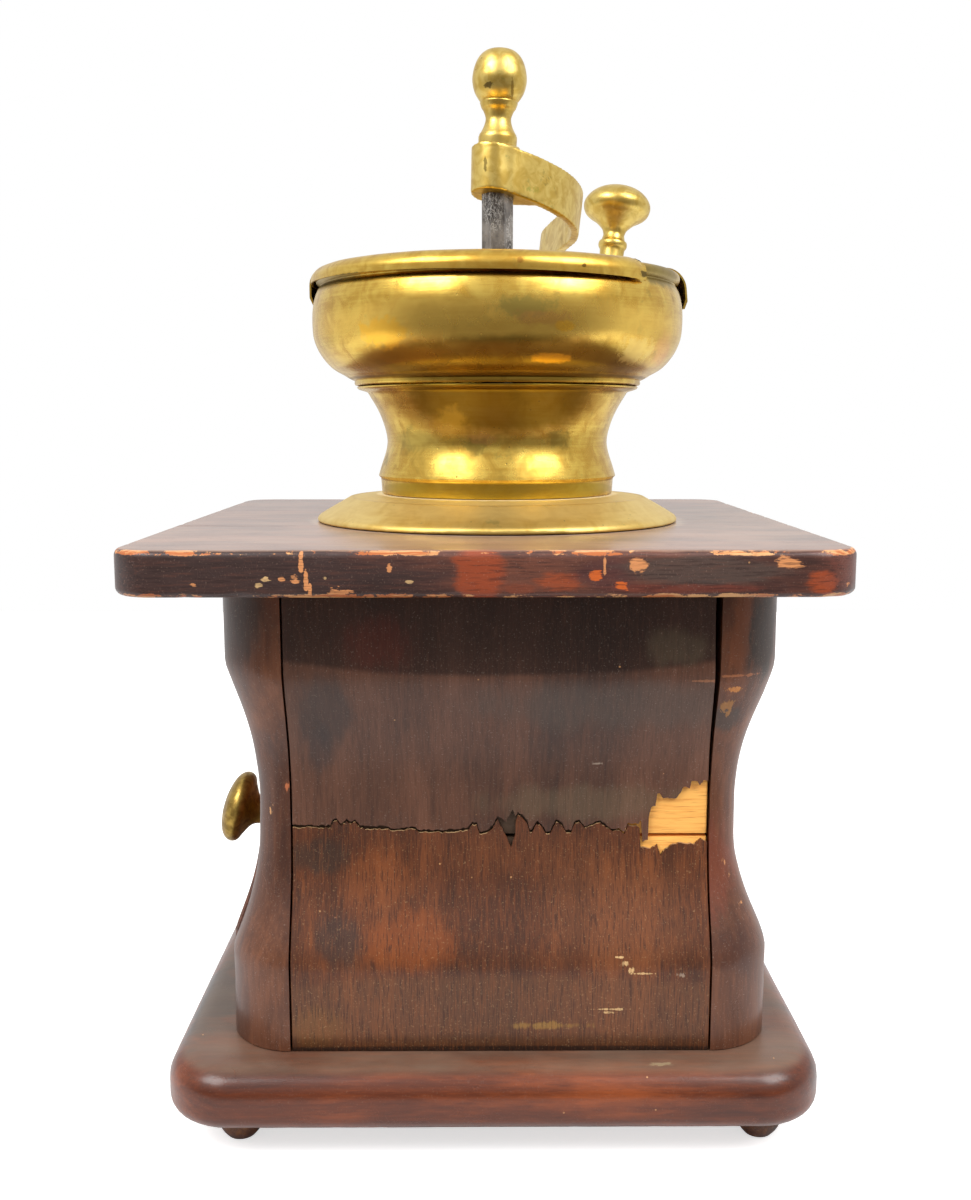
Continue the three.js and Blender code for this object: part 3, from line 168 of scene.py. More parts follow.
class Surface:
    """The node tree of one finish, with its coordinates in millimetres of the mill's own frame.

    Each further noise or pattern of specks is moved by its steps, so that no two are alike.
    """

    noise_steps: ClassVar[Triple] = (17.3, 31.7, 7.9)
    speck_steps: ClassVar[Triple] = (3.1, 5.7, 9.1)
    scratch_ridge: ClassVar[Point] = (0.012, 0.002)
    scratch_start: ClassVar[Point] = (0.62, 0.72)
    scratch_more: ClassVar[float] = 0.2
    ragged_reach: ClassVar[float] = 5.5

    def __init__(self, holder: Union[Material, bpy.types.World]) -> None:
        """Starts an empty tree in a material or a world."""
        self.holder = holder
        holder.use_nodes = True
        self.tree = holder.node_tree
        self.tree.nodes.clear()
        self.seed = 0.0
        self.coordinates: Optional[Socket] = None

    @classmethod
    def named(cls, name: str) -> "Surface":
        """Starts a new material of that name."""
        return cls(bpy.data.materials.new(name))

    @property
    def place(self) -> Socket:
        """The place on the mill, in millimetres."""
        if self.coordinates is None:
            spot = self.add("ShaderNodeTexCoord").outputs["Object"]
            self.coordinates = self.vector("SCALE", spot, scale=1 / MM)
        return self.coordinates

    def add(self, kind: str, settings: Optional[dict[str, object]] = None,
            inputs: Optional[dict[Union[int, str], Feed]] = None) -> bpy.types.Node:
        """Adds a node of any type.

        Args:
            kind: The node's type.
            settings: What is set on the node first. "stops" holds a ramp's places and colours.
            inputs: A value or a link for each named or numbered socket.

        Returns:
            The new node.
        """
        node = self.tree.nodes.new(kind)
        for name, value in (settings or {}).items():
            if name == "stops":
                self.set_stops(node, value)
            else:
                setattr(node, name, value)
        for key, value in (inputs or {}).items():
            self.feed(node.inputs[key], value)
        return node

    @staticmethod
    def set_stops(node: bpy.types.Node, stops: Sequence[tuple[float, Colour]]) -> None:
        """Gives a colour ramp its stops."""
        while len(node.color_ramp.elements) < len(stops):
            node.color_ramp.elements.new(1.0)
        for element, (position, colour) in zip(node.color_ramp.elements, stops):
            element.position = position
            element.color = colour

    def feed(self, socket: Socket, value: Feed) -> None:
        """Links a socket or sets its value."""
        source = value.socket if isinstance(value, Signal) else value
        if isinstance(source, Socket):
            self.tree.links.new(source, socket)
        else:
            socket.default_value = source

    def vector(self, operation: str, first: Feed, second: Feed = (0, 0, 0), third: Feed = (0, 0, 0),
               scale: float = 1.0) -> Socket:
        """A Vector Math node's vector."""
        inputs = {0: first, 1: second, 2: third, 3: scale}
        return self.add("ShaderNodeVectorMath", {"operation": operation}, inputs).outputs["Vector"]

    def axis(self, name: str, source: Optional[Socket] = None) -> Signal:
        """One coordinate, X, Y or Z, of the place or of another vector."""
        node = self.add("ShaderNodeSeparateXYZ", None, {0: source or self.place})
        return Signal(self, node.outputs[name])

    def facing_up(self) -> Signal:
        """How far the surface faces up, from -1 to 1."""
        return self.axis("Z", self.add("ShaderNodeNewGeometry").outputs["Normal"])

    def noise(self, size: float, detail: float = 4.0, stretch: Sequence[float] = (1, 1, 1),
              rough: float = 0.55, warp: float = 0.0, turn: Sequence[float] = (0, 0, 0)) -> Signal:
        """Cloudy noise from 0 to 1, each call with its own seed.

        Args:
            size: The size of its clouds, in millimetres.
            detail: How many finer layers it has.
            stretch: How many times longer the clouds are along X, Y and Z.
            rough: How strong the finer layers are.
            warp: How far its clouds are twisted.
            turn: The angles, in degrees, that the clouds are turned by.

        Returns:
            The noise.
        """
        self.seed += 1.0
        angles = tuple(math.radians(angle) for angle in turn)
        turned = self.place
        if any(turn):
            settings = {"rotation_type": "EULER_XYZ"}
            inputs = {"Vector": turned, "Rotation": angles}
            turned = self.add("ShaderNodeVectorRotate", settings, inputs).outputs[0]
        shrink = tuple(1 / (size * share) for share in stretch)
        seed = tuple(self.seed * step for step in self.noise_steps)
        place = self.vector("MULTIPLY_ADD", turned, shrink, seed)
        inputs = {"Vector": place, "Scale": 1.0, "Detail": detail, "Roughness": rough, "Distortion": warp}
        return Signal(self, self.add("ShaderNodeTexNoise", None, inputs).outputs["Fac"])

    def specks(self, size: float, share: float) -> Signal:
        """Small round specks.

        Args:
            size: The distance between neighbouring specks, in millimetres.
            share: A speck's radius as a share of that distance.

        Returns:
            1 inside a speck and 0 outside.
        """
        self.seed += 1.0
        seed = tuple(self.seed * step for step in self.speck_steps)
        place = self.vector("MULTIPLY_ADD", self.place, (1 / size,) * 3, seed)
        cells = self.add("ShaderNodeTexVoronoi", None, {"Vector": place, "Scale": 1.0})
        return Signal(self, cells.outputs["Distance"]).between(share, share * 0.5)

    def scratches(self, length: float, width: float, turn: Sequence[float], amount: float) -> Signal:
        """Fine scratches that run roughly one way.

        Args:
            length: How long they are, in millimetres.
            width: How far apart they are.
            turn: The angles that turn them from the Z axis.
            amount: How many show, from 0 to 1.

        Returns:
            1 on a scratch and 0 off it.
        """
        lines = self.noise(width, 1.0, (1, 1, length / width), 0.4, 0.3, turn)
        where = self.noise(length * 0.5, 2.0)
        ridge = abs(lines - 0.5).between(*self.scratch_ridge)
        low, high = (start - self.scratch_more * amount for start in self.scratch_start)
        return ridge * where.between(low, high)

    def blot(self, centre: Sequence[float], reach: Sequence[float], soft: float = 0.5,
             ragged: float = 0.5, size: float = 6.0, stretch: Sequence[float] = (1, 1, 1)) -> Signal:
        """A patch at a real place on the mill, for stains, chips and painted shade and reflections.

        Args:
            centre: Its centre, in millimetres of the frame.
            reach: Its half sizes along X, Y and Z.
            soft: How far its edge fades, as a share of its reach.
            ragged: How uneven its edge is.
            size: The size of the unevenness.
            stretch: How many times longer the unevenness is along X, Y and Z.

        Returns:
            1 inside and 0 outside.
        """
        away = self.vector("SUBTRACT", self.place, tuple(centre))
        shrunk = self.vector("MULTIPLY", away, tuple(1 / share for share in reach))
        length = self.add("ShaderNodeVectorMath", {"operation": "LENGTH"}, {0: shrunk}).outputs["Value"]
        edge = self.noise(size, 6.0, stretch, 0.66, 0.3) - 0.5
        uneven = Signal(self, length) + edge * (self.ragged_reach * ragged)
        return uneven.between(1 + soft / 2, 1 - soft / 2)

    def mix(self, mask: Number, first: Feed, second: Feed) -> Socket:
        """The first colour where the mask is 0 and the second where it is 1."""
        inputs = {0: mask, 6: first, 7: second}
        return self.add("ShaderNodeMix", {"data_type": "RGBA"}, inputs).outputs[2]

    def ramp(self, value: Signal, stops: Sequence[tuple[float, Colour]]) -> Socket:
        """A colour for each value, from a ramp."""
        return self.add("ShaderNodeValToRGB", {"stops": stops}, {0: value}).outputs["Color"]

    def bump(self, height: Signal, depth: float, under: Optional[Socket] = None
             ) -> Socket:
        """A relief on the surface.

        Args:
            height: The height, from 0 to 1.
            depth: How many millimetres a height of 1 stands for.
            under: Another relief that this one lies on.

        Returns:
            The normal.
        """
        inputs: dict[Union[int, str], Feed] = {"Height": height, "Distance": depth * MM, "Strength": 1.0}
        if under is not None:
            inputs["Normal"] = under
        return self.add("ShaderNodeBump", None, inputs).outputs["Normal"]

    def finish(self, **sockets: Feed) -> Material:
        """Ends the tree in a Principled shader.

        Args:
            **sockets: The shader's sockets, with an underline for each space.

        Returns:
            The material.
        """
        inputs = {name.replace("_", " "): value for name, value in sockets.items()}
        shader = self.add("ShaderNodeBsdfPrincipled", None, inputs)
        self.add("ShaderNodeOutputMaterial", None, {"Surface": shader.outputs[0]})
        return self.holder


# Finishes

@dataclass(frozen=True)
class Mark:
    """A stain, chip or bare place, or a painted shade, shadow or reflection, at a real place on the mill,
    in millimetres of the frame.
    """

    centre: Triple
    reach: Triple
    colour: Colour
    strength: float = 1.0
    soft: float = 0.5
    ragged: float = 0.5
    size: float = 6.0
    dull: float = 0.0


def nicks(y: float, deep: float, soft: float,
          *rows: tuple[float, float, float, float, Colour, float, float, float]) -> tuple[Mark, ...]:
    """Small chips on a face that looks to the front, each a little duller than the varnish.

    Args:
        y: Where the face lies along Y, in millimetres of the frame.
        deep: How far in front of it and behind it the chips reach.
        soft: How far their edges fade.
        *rows: Each chip's X, Z, half width, half height, colour, strength, unevenness and its size.

    Returns:
        A mark for each chip.
    """
    return tuple(Mark((x, y, z), (wide, deep, high), colour, strength, soft, ragged, size, 0.2)
                 for x, z, wide, high, colour, strength, ragged, size in rows)


def marked(surface: Surface, colour: Feed, roughness: Number, marks: Iterable[Mark],
           stretch: Sequence[float] = (1, 1, 1)) -> tuple[Feed, Number]:
    """Lays marks over a colour and a roughness.

    Args:
        surface: The finish that is being made.
        colour: The colour so far.
        roughness: The roughness so far.
        marks: The marks, the lowest first.
        stretch: How many times longer their edges' unevenness is along X, Y and Z.

    Returns:
        The colour and the roughness with the marks.
    """
    for mark in marks:
        inside = surface.blot(mark.centre, mark.reach, mark.soft, mark.ragged, mark.size, stretch)
        inside = inside * mark.strength
        colour = surface.mix(inside, colour, mark.colour)
        roughness = roughness + inside * mark.dull
    return colour, roughness


@dataclass(frozen=True)
class AgedBrass:
    """Old spun or cast brass: golden where it is rubbed, olive and brown where it has tarnished; some of
    its marks are painted reflections.
    """

    name: str
    bright: Colour = paint(224, 190, 92)
    warm: Colour = paint(196, 154, 64)
    tarnish: Colour = paint(124, 102, 46)
    grime: Colour = paint(46, 34, 14)
    verdigris: Colour = paint(120, 126, 70)
    polish: float = 0.24
    tarnish_share: float = 0.4
    cloud: float = 16.0
    streak: Triple = (9.0, 9.0, 0.4)
    streaks: float = 0.3
    dents: float = 0.25
    marks: tuple[Mark, ...] = ()
    streak_size: float = 1.6
    streak_depth: float = 0.012
    tarnish_start: float = 0.66
    tarnish_fade: float = 0.2
    tarnish_strength: float = 0.55
    green_strength: float = 0.35
    pit_spacing: float = 2.6
    pit_size: float = 0.13
    pit_strength: float = 0.7
    pit_depth: float = 0.03
    dent_size: float = 16.0

    def make(self) -> Material:
        """Builds the material."""
        brass = Surface.named(self.name)
        clouds = brass.noise(self.cloud, 5.0, warp=0.6)
        mottle = brass.noise(self.cloud * 0.4, 3.0, warp=0.8)
        streaks = brass.noise(self.streak_size, 3.0, self.streak)
        start = self.tarnish_start - 0.3 * self.tarnish_share
        dull = (clouds * 0.7 + mottle * 0.3).between(start, start + self.tarnish_fade)
        tone = streaks * self.streaks + mottle * (1 - self.streaks)
        colour: Feed = brass.mix(tone.between(0.34, 0.66), self.bright, self.warm)
        colour = brass.mix(dull * self.tarnish_strength, colour, self.tarnish)
        green = brass.noise(self.cloud * 0.5, 5.0, rough=0.7).between(0.6, 0.7)
        colour = brass.mix(green * self.green_strength, colour, self.verdigris)
        pits = brass.specks(self.pit_spacing, self.pit_size)
        pits = pits * brass.noise(9.0, 3.0).between(0.54, 0.66)
        colour = brass.mix(pits * self.pit_strength, colour, self.grime)
        roughness = self.polish + dull * 0.1 + mottle * 0.05 + pits * 0.2
        colour, roughness = marked(brass, colour, roughness, self.marks)
        swells = brass.noise(self.dent_size, 1.0)
        relief = brass.bump(swells, self.dents)
        relief = brass.bump(streaks * self.streaks, self.streak_depth, relief)
        relief = brass.bump(1 - pits, self.pit_depth, relief)
        metal = 1 - dull * 0.08 - pits * 0.3
        return brass.finish(Base_Color=colour, Metallic=metal, Roughness=roughness, Normal=relief)


@dataclass(frozen=True)
class VarnishedWood:
    """Stained and varnished wood with grain, worn arrises, stains and dust; some of its marks are painted
    shade.
    """

    name: str
    dark: Colour
    middle: Colour
    light: Colour
    bare: Colour = paint(190, 104, 50)
    fresh: Colour = paint(226, 170, 112)
    dust: Colour = paint(176, 160, 146)
    grain: Triple = (1, 1, 1)
    grain_size: float = 1.4
    figure: float = 20.0
    gloss: float = 0.36
    coat: float = 0.3
    top_dust: float = 0.0
    top_sheen: float = 0.0
    top_wear: float = 0.0
    foot_wear: float = 0.0
    wear_width: float = 6.0
    pores: float = 0.5
    marks: tuple[Mark, ...] = ()
    tones: Triple = (0.37, 0.5, 0.63)
    pore_strength: float = 0.75
    light_strength: float = 0.3
    grit_size: float = 0.5
    grit_strength: float = 0.2
    chip_stretch: Triple = (1.5, 1.5, 0.8)
    worn_start: float = 0.18
    worn_strength: float = 0.85
    dot_spacing: float = 7.0
    dot_size: float = 0.05
    dot_strength: float = 0.6
    scratch_strength: float = 0.3
    figure_depth: float = 0.25
    fibre_depth: float = 0.04
    scratch_depth: float = 0.05
    coat_roughness: float = 0.22
    reflection: float = 0.32

    def worn(self, wood: Surface, chips: Signal, band: Signal, wear: float) -> Signal:
        """Where an arris is worn to the bare wood.

        Args:
            wood: The finish that is being made.
            chips: Fine noise that shapes the chips.
            band: 1 on the arris and 0 off it.
            wear: How much of it is worn, from 0 to 1.

        Returns:
            1 on bare wood and 0 on the stain.
        """
        stretches = wood.noise(24.0, 2.0)
        start = 1.0 - self.worn_start * wear
        return (chips + band * 0.34 + (stretches - 0.5) * 0.6).between(start, start + 0.04)

    def make(self) -> Material:
        """Builds the material."""
        wood = Surface.named(self.name)
        along = tuple(share * 0.35 + 0.65 for share in self.grain)
        figure = wood.noise(self.figure, 4.0, along, warp=0.7)
        patches = wood.noise(self.figure * 0.4, 6.0, along, 0.62, 0.5)
        fibres = wood.noise(self.grain_size, 4.0, self.grain, 0.7)
        fine = wood.noise(self.grain_size * 0.42, 3.0, self.grain, 0.65)
        tone = figure * 0.42 + patches * 0.33 + fibres * 0.25
        stops = tuple(zip(self.tones, (self.dark, self.middle, self.light)))
        colour: Feed = wood.ramp(tone, stops)
        roughness: Number = self.gloss + patches * 0.16
        stretch = [1 + share * 0.22 for share in self.grain]
        colour, roughness = marked(wood, colour, roughness, self.marks, stretch)
        pores = fine.between(0.52, 0.64) * self.pores
        colour = wood.mix(pores * self.pore_strength, colour, self.dark)
        lights = fine.between(0.47, 0.36) * self.pores
        colour = wood.mix(lights * self.light_strength, colour, self.light)
        grit = wood.noise(self.grit_size, 2.0).between(0.6, 0.75)
        colour = wood.mix(grit * self.grit_strength, colour, self.dust)
        chips = wood.noise(self.wear_width, 7.0, self.chip_stretch, 0.72, 0.3)
        facing = wood.facing_up()
        bare = wood.mix(fibres.between(0.44, 0.6), self.bare, self.fresh)
        if self.top_wear:
            arris = facing.between(0.05, 0.5) * facing.between(0.995, 0.95)
            worn = self.worn(wood, chips, arris, self.top_wear)
            colour = wood.mix(worn * self.worn_strength, colour, bare)
            roughness = roughness + worn * 0.25
        if self.foot_wear:
            worn = self.worn(wood, chips, facing.between(-0.1, -0.6), self.foot_wear)
            colour = wood.mix(worn * self.worn_strength, colour, bare)
        if self.top_dust:
            cover = wood.noise(18.0, 6.0, (2, 1, 1), 0.6).between(0.25, 0.7) * 0.6 + 0.4
            settled = facing.between(0.75, 0.97) * cover * self.top_dust
            colour = wood.mix(settled, colour, self.dust)
            roughness = roughness + settled * 0.2
        dots = wood.specks(self.dot_spacing, self.dot_size)
        dots = dots * wood.noise(11.0, 2.0).between(0.45, 0.6)
        colour = wood.mix(dots * self.dot_strength, colour, self.fresh)
        lines = wood.scratches(22, 1.6, (25, 10, 0), 0.3)
        lines = lines.highest(wood.scratches(14, 1.2, (80, 35, 0), 0.25))
        colour = wood.mix(lines * self.scratch_strength, colour, self.light)
        relief = wood.bump(figure, self.figure_depth)
        relief = wood.bump(fibres * 0.6 + fine * 0.4, self.fibre_depth, relief)
        relief = wood.bump(1 - lines, self.scratch_depth, relief)
        coat: Number = self.coat
        if self.top_sheen:
            coat = facing.between(0.9, 0.99) * self.top_sheen + self.coat
        return wood.finish(Base_Color=colour, Roughness=roughness, Normal=relief, Coat_Weight=coat,
                           Coat_Roughness=self.coat_roughness, Specular_IOR_Level=self.reflection)


@dataclass(frozen=True)
class BarePine:
    """Unstained pine with its growth rings, as inside the drawer and under the lost veneer."""

    name: str
    pale: Colour = paint(250, 184, 92)
    ring: Colour = paint(240, 168, 80)
    fibre: Colour = paint(176, 96, 38)
    glue: Colour = paint(150, 88, 40)
    grain: Triple = (14, 14, 1)
    clean: Optional[Mark] = None
    fibre_strength: float = 0.5
    glue_strength: float = 0.35
    ring_depth: float = 0.18
    rough: float = 0.62

    def make(self) -> Material:
        """Builds the material."""
        pine = Surface.named(self.name)
        rings = pine.noise(1.1, 4.0, self.grain, 0.6, 0.2)
        fibres = pine.noise(0.5, 2.0, self.grain, 0.6)
        glue = pine.noise(5.0, 4.0, (2, 2, 1))
        colour: Feed = pine.mix(rings.between(0.48, 0.58), self.pale, self.ring)
        colour = pine.mix(fibres.between(0.58, 0.7) * self.fibre_strength, colour, self.fibre)
        colour = pine.mix(glue.between(0.58, 0.72) * self.glue_strength, colour, self.glue)
        # Outside the clean place the pine takes the mark's dark colour: dirt, and painted shade where the
        # pine shows through the crack in the veneer.
        if self.clean:
            clean = self.clean
            open_air = pine.blot(clean.centre, clean.reach, clean.soft, clean.ragged, clean.size)
            colour = pine.mix(open_air, clean.colour, colour)
        relief = pine.bump(rings * 0.5 + fibres * 0.5, self.ring_depth)
        return pine.finish(Base_Color=colour, Roughness=self.rough + fibres * 0.15, Normal=relief)


@dataclass(frozen=True)
class ForgedIron:
    """Dark iron or steel, with rubbed places and fine scratches."""

    name: str
    dark: Colour = paint(52, 49, 48)
    rubbed: Colour = paint(128, 122, 116)
    rust: Colour = paint(84, 52, 34)
    scratch: Colour = paint(190, 184, 176)
    bright: Colour = paint(232, 228, 222)
    rough: float = 0.42
    rust_share: float = 0.3
    rust_strength: float = 0.7
    scratch_strength: float = 0.7
    worm: float = 0.0
    metal: float = 0.85
    grit_depth: float = 0.12

    def make(self) -> Material:
        """Builds the material."""
        iron = Surface.named(self.name)
        clouds = iron.noise(7.0, 5.0, (1, 1, 2))
        grit = iron.noise(0.9, 3.0)
        lines = iron.scratches(12, 0.8, (4, 3, 0), 0.9)
        lines = lines.highest(iron.scratches(8, 0.9, (70, 10, 0), 0.6))
        colour: Feed = iron.mix(clouds.between(0.4, 0.66), self.dark, self.rubbed)
        more = 0.2 * self.rust_share
        rusty = iron.noise(4.0, 5.0).between(0.66 - more, 0.78 - more)
        colour = iron.mix(rusty * self.rust_strength, colour, self.rust)
        colour = iron.mix(lines * self.scratch_strength, colour, self.scratch)
        if self.worm:
            rubs = abs(iron.noise(1.3, 3.0, (1, 1, 2.2), 0.6, 1.2) - 0.5).between(0.045, 0.01)
            rubs = rubs * iron.noise(5.0, 3.0, (1, 1, 2)).between(0.42, 0.58) * self.worm
            colour = iron.mix(rubs, colour, self.bright)
        relief = iron.bump(clouds * 0.5 + grit * 0.5, self.grit_depth)
        roughness = self.rough + grit * 0.14 + rusty * 0.2 - lines * 0.12
        return iron.finish(Base_Color=colour, Metallic=self.metal - rusty * 0.6, Normal=relief,
                           Roughness=roughness)


class Slot(Enum):
    """The record's material slots, named for the rebuilt pieces in the calls that seat them."""

    BRASS = "aged_brass"
    VENEER = "walnut_veneer"
    BOARDS = "stained_boards"
    POSTS = "stained_posts"
    PINE = "bare_pine"
    FEET = "foot_wood"


class Body(Enum):
    """The bodies that pieces ride on."""

    MILL = "mill"
    LID = "lid"
    SHAFT = "shaft"
    GRIP = "grip"
    DRAWER = "drawer"


def rel(x: float, y: float, height: float) -> Triple:
    """A place given from the shaft's axis and the top board's top face, as a place in the frame."""
    return AXIS.x + x, AXIS.y + y, DECK + height


class Finishes:
    """Every finish on the mill, each made once."""

    def __init__(self) -> None:
        """Makes the materials."""
        self.spun = AgedBrass("spun brass", marks=self.bowl_marks()).make()
        self.neck = AgedBrass("spun brass neck", tarnish_share=0.52, marks=self.neck_marks()).make()
        dust_and_sheen = paint(236, 214, 150)
        self.skirt = AgedBrass(
            "dusty brass skirt", bright=paint(228, 198, 118), warm=paint(212, 176, 92),
            tarnish=paint(176, 146, 84), polish=0.42, tarnish_share=0.3,
            marks=(
                # Dust and painted sheen: the flat ring round the neck's foot is painted paler, with a
                # near-white line at the foot.
                Mark(rel(0, 0, 9), (50.4, 50.4, 3), dust_and_sheen, 0.6, 0.06, 0.01, 6.0, 0.15),
                Mark(rel(0, 0, 9), (40.6, 40.6, 1.2), paint(252, 240, 206), 0.85, 0.06, 0.02, 3.0, 0.3),
                Mark(rel(0, -61, 0.6), (30, 8, 0.9), paint(70, 52, 22), 0.6, 0.6, 0.2, 4.0, 0.2),
                Mark(rel(0, -62, 7), (62, 22, 3), dust_and_sheen, 0.45, 0.9, 0.2, 12.0, 0.1),
                Mark(rel(-48, -20, 5), (14, 30, 5), dust_and_sheen, 0.5, 0.9, 0.3, 9.0, 0.1),
                Mark(rel(50, -20, 5), (14, 30, 5), dust_and_sheen, 0.5, 0.9, 0.3, 9.0, 0.1),
            )).make()
        self.lid = AgedBrass("lid brass", cloud=12.0, polish=0.28, tarnish_share=0.3,
                             marks=self.lid_marks()).make()
        self.cast = AgedBrass(
            "cast brass", bright=paint(224, 196, 112), warm=paint(200, 166, 80), cloud=11.0, polish=0.33,
            tarnish_share=0.25, dents=0.12, streaks=0.0,
            marks=(
                Mark(rel(-3.2, -9, 139), (1.6, 4, 0.8), paint(70, 56, 34), 0.8, 0.5, 0.5, 1.2, 0.1),
                Mark(rel(4.6, -7, 138), (0.5, 5, 3), paint(110, 84, 34), 0.7, 0.5, 0.4, 1.2, 0.1),
                Mark(rel(-4.0, -8, 115), (0.5, 5, 2.2), paint(96, 82, 40), 0.8, 0.5, 0.5, 1.4, 0.1),
                Mark(rel(12, -9, 108), (3.4, 9, 1.0), paint(150, 150, 64), 0.5, 0.8, 0.7, 2.0, 0.1),
                Mark(rel(16, -9, 112), (2.2, 9, 2.6), paint(134, 120, 60), 0.5, 0.6, 0.7, 2.0, 0.1),
            )).make()
        self.knob = AgedBrass("worn brass knob", bright=paint(178, 148, 76), warm=paint(142, 112, 56),
                              polish=0.34, tarnish_share=0.7, cloud=7.0, streaks=0.0).make()
        edge_y = -114.9
        peach, flame = paint(222, 148, 92), paint(206, 96, 30)
        tan, sand = paint(214, 150, 96), paint(214, 176, 122)
        self.top_board = VarnishedWood(
            "stained top board", dark=paint(44, 28, 26), middle=paint(74, 46, 40), light=paint(112, 66, 50),
            dust=paint(196, 160, 138), grain=(14, 1, 1), figure=22.0, gloss=0.34, coat=0.2, top_dust=0.5,
            top_sheen=0.45, top_wear=0.8, foot_wear=0.95, wear_width=3.2, pores=0.7,
            marks=(
                Mark((-60, edge_y, 171), (44, 8, 8), paint(60, 46, 44), 0.7, 0.9, 0.31, 9.0),
                Mark((-2, edge_y, 171), (6.4, 4, 9), paint(150, 66, 34), 0.85, 0.5, 0.36, 5.0),
                Mark((19, edge_y, 169), (6.6, 4, 2.8), paint(150, 70, 38), 0.85, 0.5, 0.47, 4.0),
                Mark((9, edge_y, 167.4), (5, 4, 1.6), paint(126, 62, 40), 0.7, 0.6, 0.52, 4.0),
                Mark((32, edge_y, 171.5), (8, 4, 5), paint(76, 44, 44), 0.7, 0.6, 0.39, 5.0),
                Mark((56, edge_y, 172), (20, 4, 3.8), paint(78, 64, 58), 0.85, 0.6, 0.31, 6.0),
                Mark((54, edge_y, 167.2), (24, 4, 1.3), paint(110, 52, 40), 0.7, 0.6, 0.52, 6.0),
                Mark((88.4, edge_y, 169), (4, 5, 2.6), paint(164, 72, 34), 0.8, 0.6, 0.52, 4.0),
                Mark((96, edge_y, 172), (8, 9, 6), paint(116, 64, 52), 0.6, 0.8, 0.39, 6.0),
                Mark((88, -20, 177.4), (34, 60, 4), paint(70, 58, 48), 0.8, 0.9, 0.39, 20.0),
                # Painted shade and dirt: the near-black line along the crack in the top face.
                Mark((-77, -40.9, 177.4), (25, 0.7, 3), paint(16, 9, 7), 0.95, 0.5, 0.02, 5.0, 0.1),
                Mark((4.4, -14.9, 177.4), (62.6, 62.6, 3), paint(206, 190, 164), 0.5, 0.06, 0.03, 2.0, 0.1),
                *nicks(edge_y, 3, 0.3,
                       (-48.2, 174.4, 0.55, 3.0, peach, 0.9, 0.6, 1.5),
                       (-47.0, 170, 0.5, 2.8, peach, 0.9, 0.6, 1.5),
                       (-46.0, 167, 0.5, 2.2, peach, 0.9, 0.6, 1.5),
                       (-50.0, 170.4, 1.5, 1.2, peach, 0.85, 0.96, 1.2),
                       (-53.4, 169.8, 0.8, 0.5, peach, 0.85, 0.96, 1.2),
                       (-57.4, 170.2, 0.9, 0.6, sand, 0.85, 0.96, 1.2),
                       (-59.4, 168.4, 0.9, 0.7, sand, 0.85, 0.96, 1.2),
                       (-76.6, 168.6, 0.9, 0.6, peach, 0.7, 0.96, 1.2),
                       (-42, 170.2, 0.4, 0.4, sand, 0.8, 0.64, 1.0),
                       (-25.2, 172.4, 0.5, 1.3, peach, 0.8, 0.96, 1.2),
                       (-20, 169.2, 0.9, 0.4, sand, 0.7, 0.96, 1.2),
                       (-38, 166.6, 2.6, 1.1, peach, 0.8, 0.96, 1.5),
                       (28.9, 170.8, 1.6, 1.1, flame, 0.9, 0.8, 1.5),
                       (31.0, 173.4, 0.35, 2.4, peach, 0.8, 0.64, 1.5),
                       (35.4, 168, 1.6, 1.0, flame, 0.9, 0.96, 1.5),
                       (39.4, 174.0, 2.3, 1.9, peach, 0.9, 0.7, 2.0)),
                Mark((79, edge_y, 174.4), (3.5, 5, 1.6), peach, 0.9, 0.3, 0.6, 2.0, 0.2),
                Mark((95.4, edge_y, 168.4), (0.6, 3, 1.0), peach, 0.8, 0.3, 0.96, 1.2, 0.2),
            )).make()
        self.base_board = VarnishedWood(
            "stained base board", dark=paint(58, 23, 11), middle=paint(90, 39, 14),
            light=paint(128, 60, 22), dust=paint(124, 106, 90), grain=(10, 1, 1), figure=24.0,
            gloss=0.24, coat=0.36, top_dust=0.6, pores=0.25,
            marks=(
                Mark((-89, -62, 27), (12, 28, 3), paint(36, 27, 24), 0.9, 0.7, 0.5, 7.0),
                Mark((50, -117, 26), (14, 6, 4), paint(150, 70, 40), 0.6, 0.8, 0.52, 7.0),
                Mark((-40, -118, 24), (16, 6, 4), paint(96, 40, 26), 0.6, 0.8, 0.52, 7.0),
                Mark((22, -122, 21), (1.6, 3, 0.5), peach, 0.7, 0.3, 0.96, 1.0, 0.2),
                Mark((-58, -119, 24), (0.4, 4, 1.2), peach, 0.7, 0.3, 0.96, 1.0, 0.2),
                Mark((50, -103, 28), (3.4, 1.2, 1), paint(170, 152, 110), 0.7, 0.3, 0.6, 1.6, 0.2),
            )).make()
